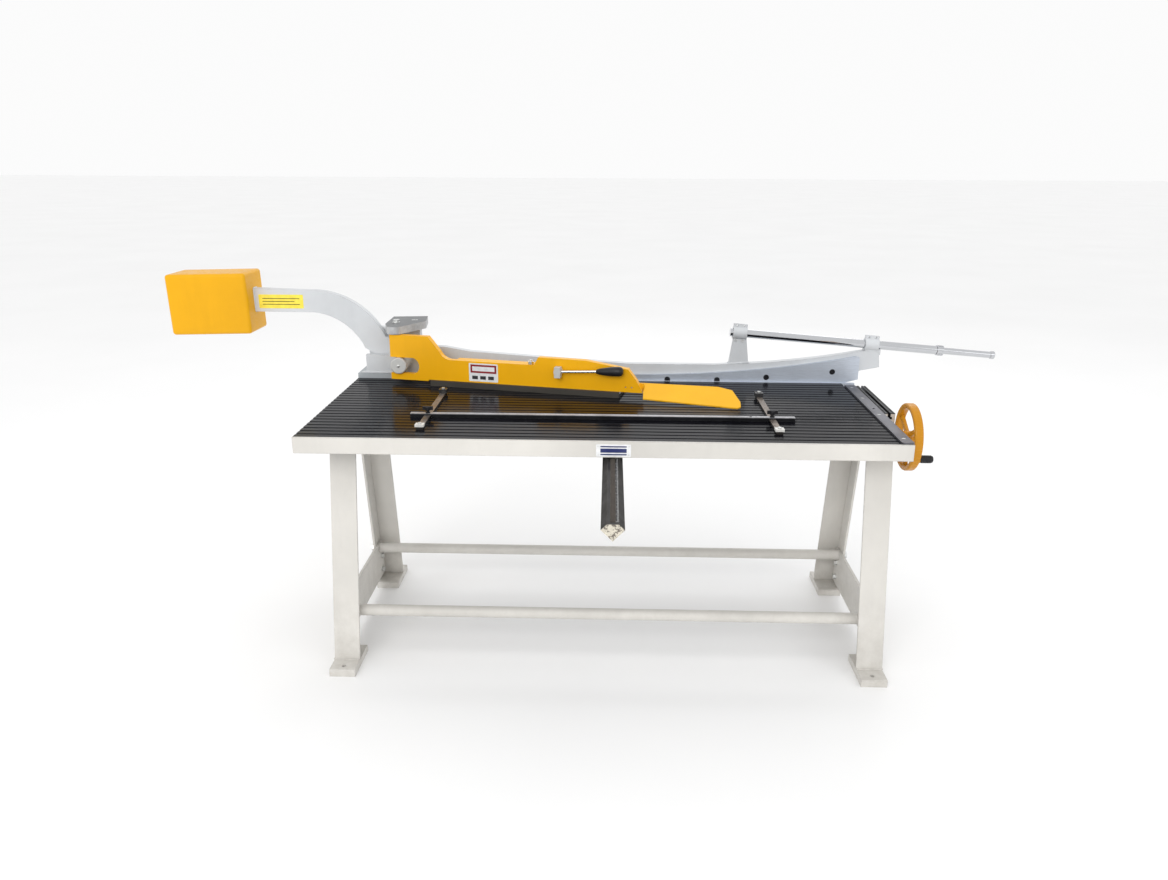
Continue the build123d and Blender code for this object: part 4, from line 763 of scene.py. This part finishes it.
def grease_nipple():
    """Grease nipple in the middle of the pivot boss's face."""
    place = Matrix.Translation((PIVOT_X, pin_low[1], PIVOT_Z)) @ TO_FRONT
    bm = bmesh.new()
    add_lathe(bm, [(-0.001, 0.0055), (0.0016, 0.0055), (0.0024, 0.0046), (0.0024, 0.0030), (0.0048, 0.0026),
                   (0.0060, 0.0012), (0.0060, 0.0)], place, 24)
    piece("grease_nipple", from_bmesh("grease_nipple", bm), SCREW, STAND)


collar_screws()
lever_grip_piece()
wheel_grip_piece()
grease_nipple()


# ---- room, lights and camera -----------------------------------------------------------------------------
def floor():
    bm = bmesh.new()
    size = 60
    for x, y in ((-size, -size), (size, -size), (size, size), (-size, size)):
        bm.verts.new((x, y, 0))
    bm.faces.new(bm.verts[:])
    obj = bpy.data.objects.new("studio_floor", from_bmesh("studio_floor", bm))
    bpy.context.scene.collection.objects.link(obj)
    s = Shader("pale_floor", Roughness=0.6)
    s.colour(s.mix(s.ramp(s.noise(0.8, 3, 0.5), 0.3, 0.7), (0.93, 0.93, 0.93), (0.96, 0.96, 0.96)))
    obj.data.materials.append(s.material)


def area_light(name, place, target, size, power):
    light = bpy.data.lights.new(name, "AREA")
    light.shape = "RECTANGLE"
    light.size, light.size_y = size
    light.energy = power
    obj = bpy.data.objects.new(name, light)
    obj.location = place
    obj.rotation_euler = (Vector(target) - Vector(place)).to_track_quat("-Z", "Y").to_euler()
    bpy.context.scene.collection.objects.link(obj)


def camera():
    """Eye-height view from the front, a little left of the middle."""
    yaw, pitch, roll = math.radians(-1.585), math.radians(17.53), math.radians(0.27)
    forward = Vector((math.sin(yaw) * math.cos(pitch), math.cos(yaw) * math.cos(pitch), -math.sin(pitch)))
    right = Vector((math.cos(yaw), -math.sin(yaw), 0))
    up = right.cross(forward)
    across = right * math.cos(roll) + up * math.sin(roll)
    above = up * math.cos(roll) - right * math.sin(roll)
    data = bpy.data.cameras.new("camera")
    data.sensor_width = 36
    data.lens = 28.08
    data.clip_end = 100
    obj = bpy.data.objects.new("camera", data)
    turn = Matrix((across, above, -forward)).transposed().to_4x4()
    obj.matrix_world = Matrix.Translation((-0.004, -3.012, 1.654)) @ turn
    bpy.context.scene.collection.objects.link(obj)
    bpy.context.scene.camera = obj


def world():
    sky = bpy.data.worlds.new("studio")
    sky.use_nodes = True
    background = sky.node_tree.nodes["Background"]
    background.inputs["Color"].default_value = (1.0, 1.0, 1.0, 1)
    background.inputs["Strength"].default_value = 0.97
    bpy.context.scene.world = sky


floor()
area_light("key", (-1.6, -5.2, 3.6), (0, 0, 0.7), (3.2, 2.2), 105)
area_light("fill", (4.6, -3.6, 3.0), (0, 0, 0.7), (3.0, 2.4), 22)
area_light("back", (0.8, 4.4, 3.8), (0, 0.2, 0.8), (3.6, 1.6), 35)
camera()
world()
bpy.context.scene.view_settings.view_transform = "Standard"
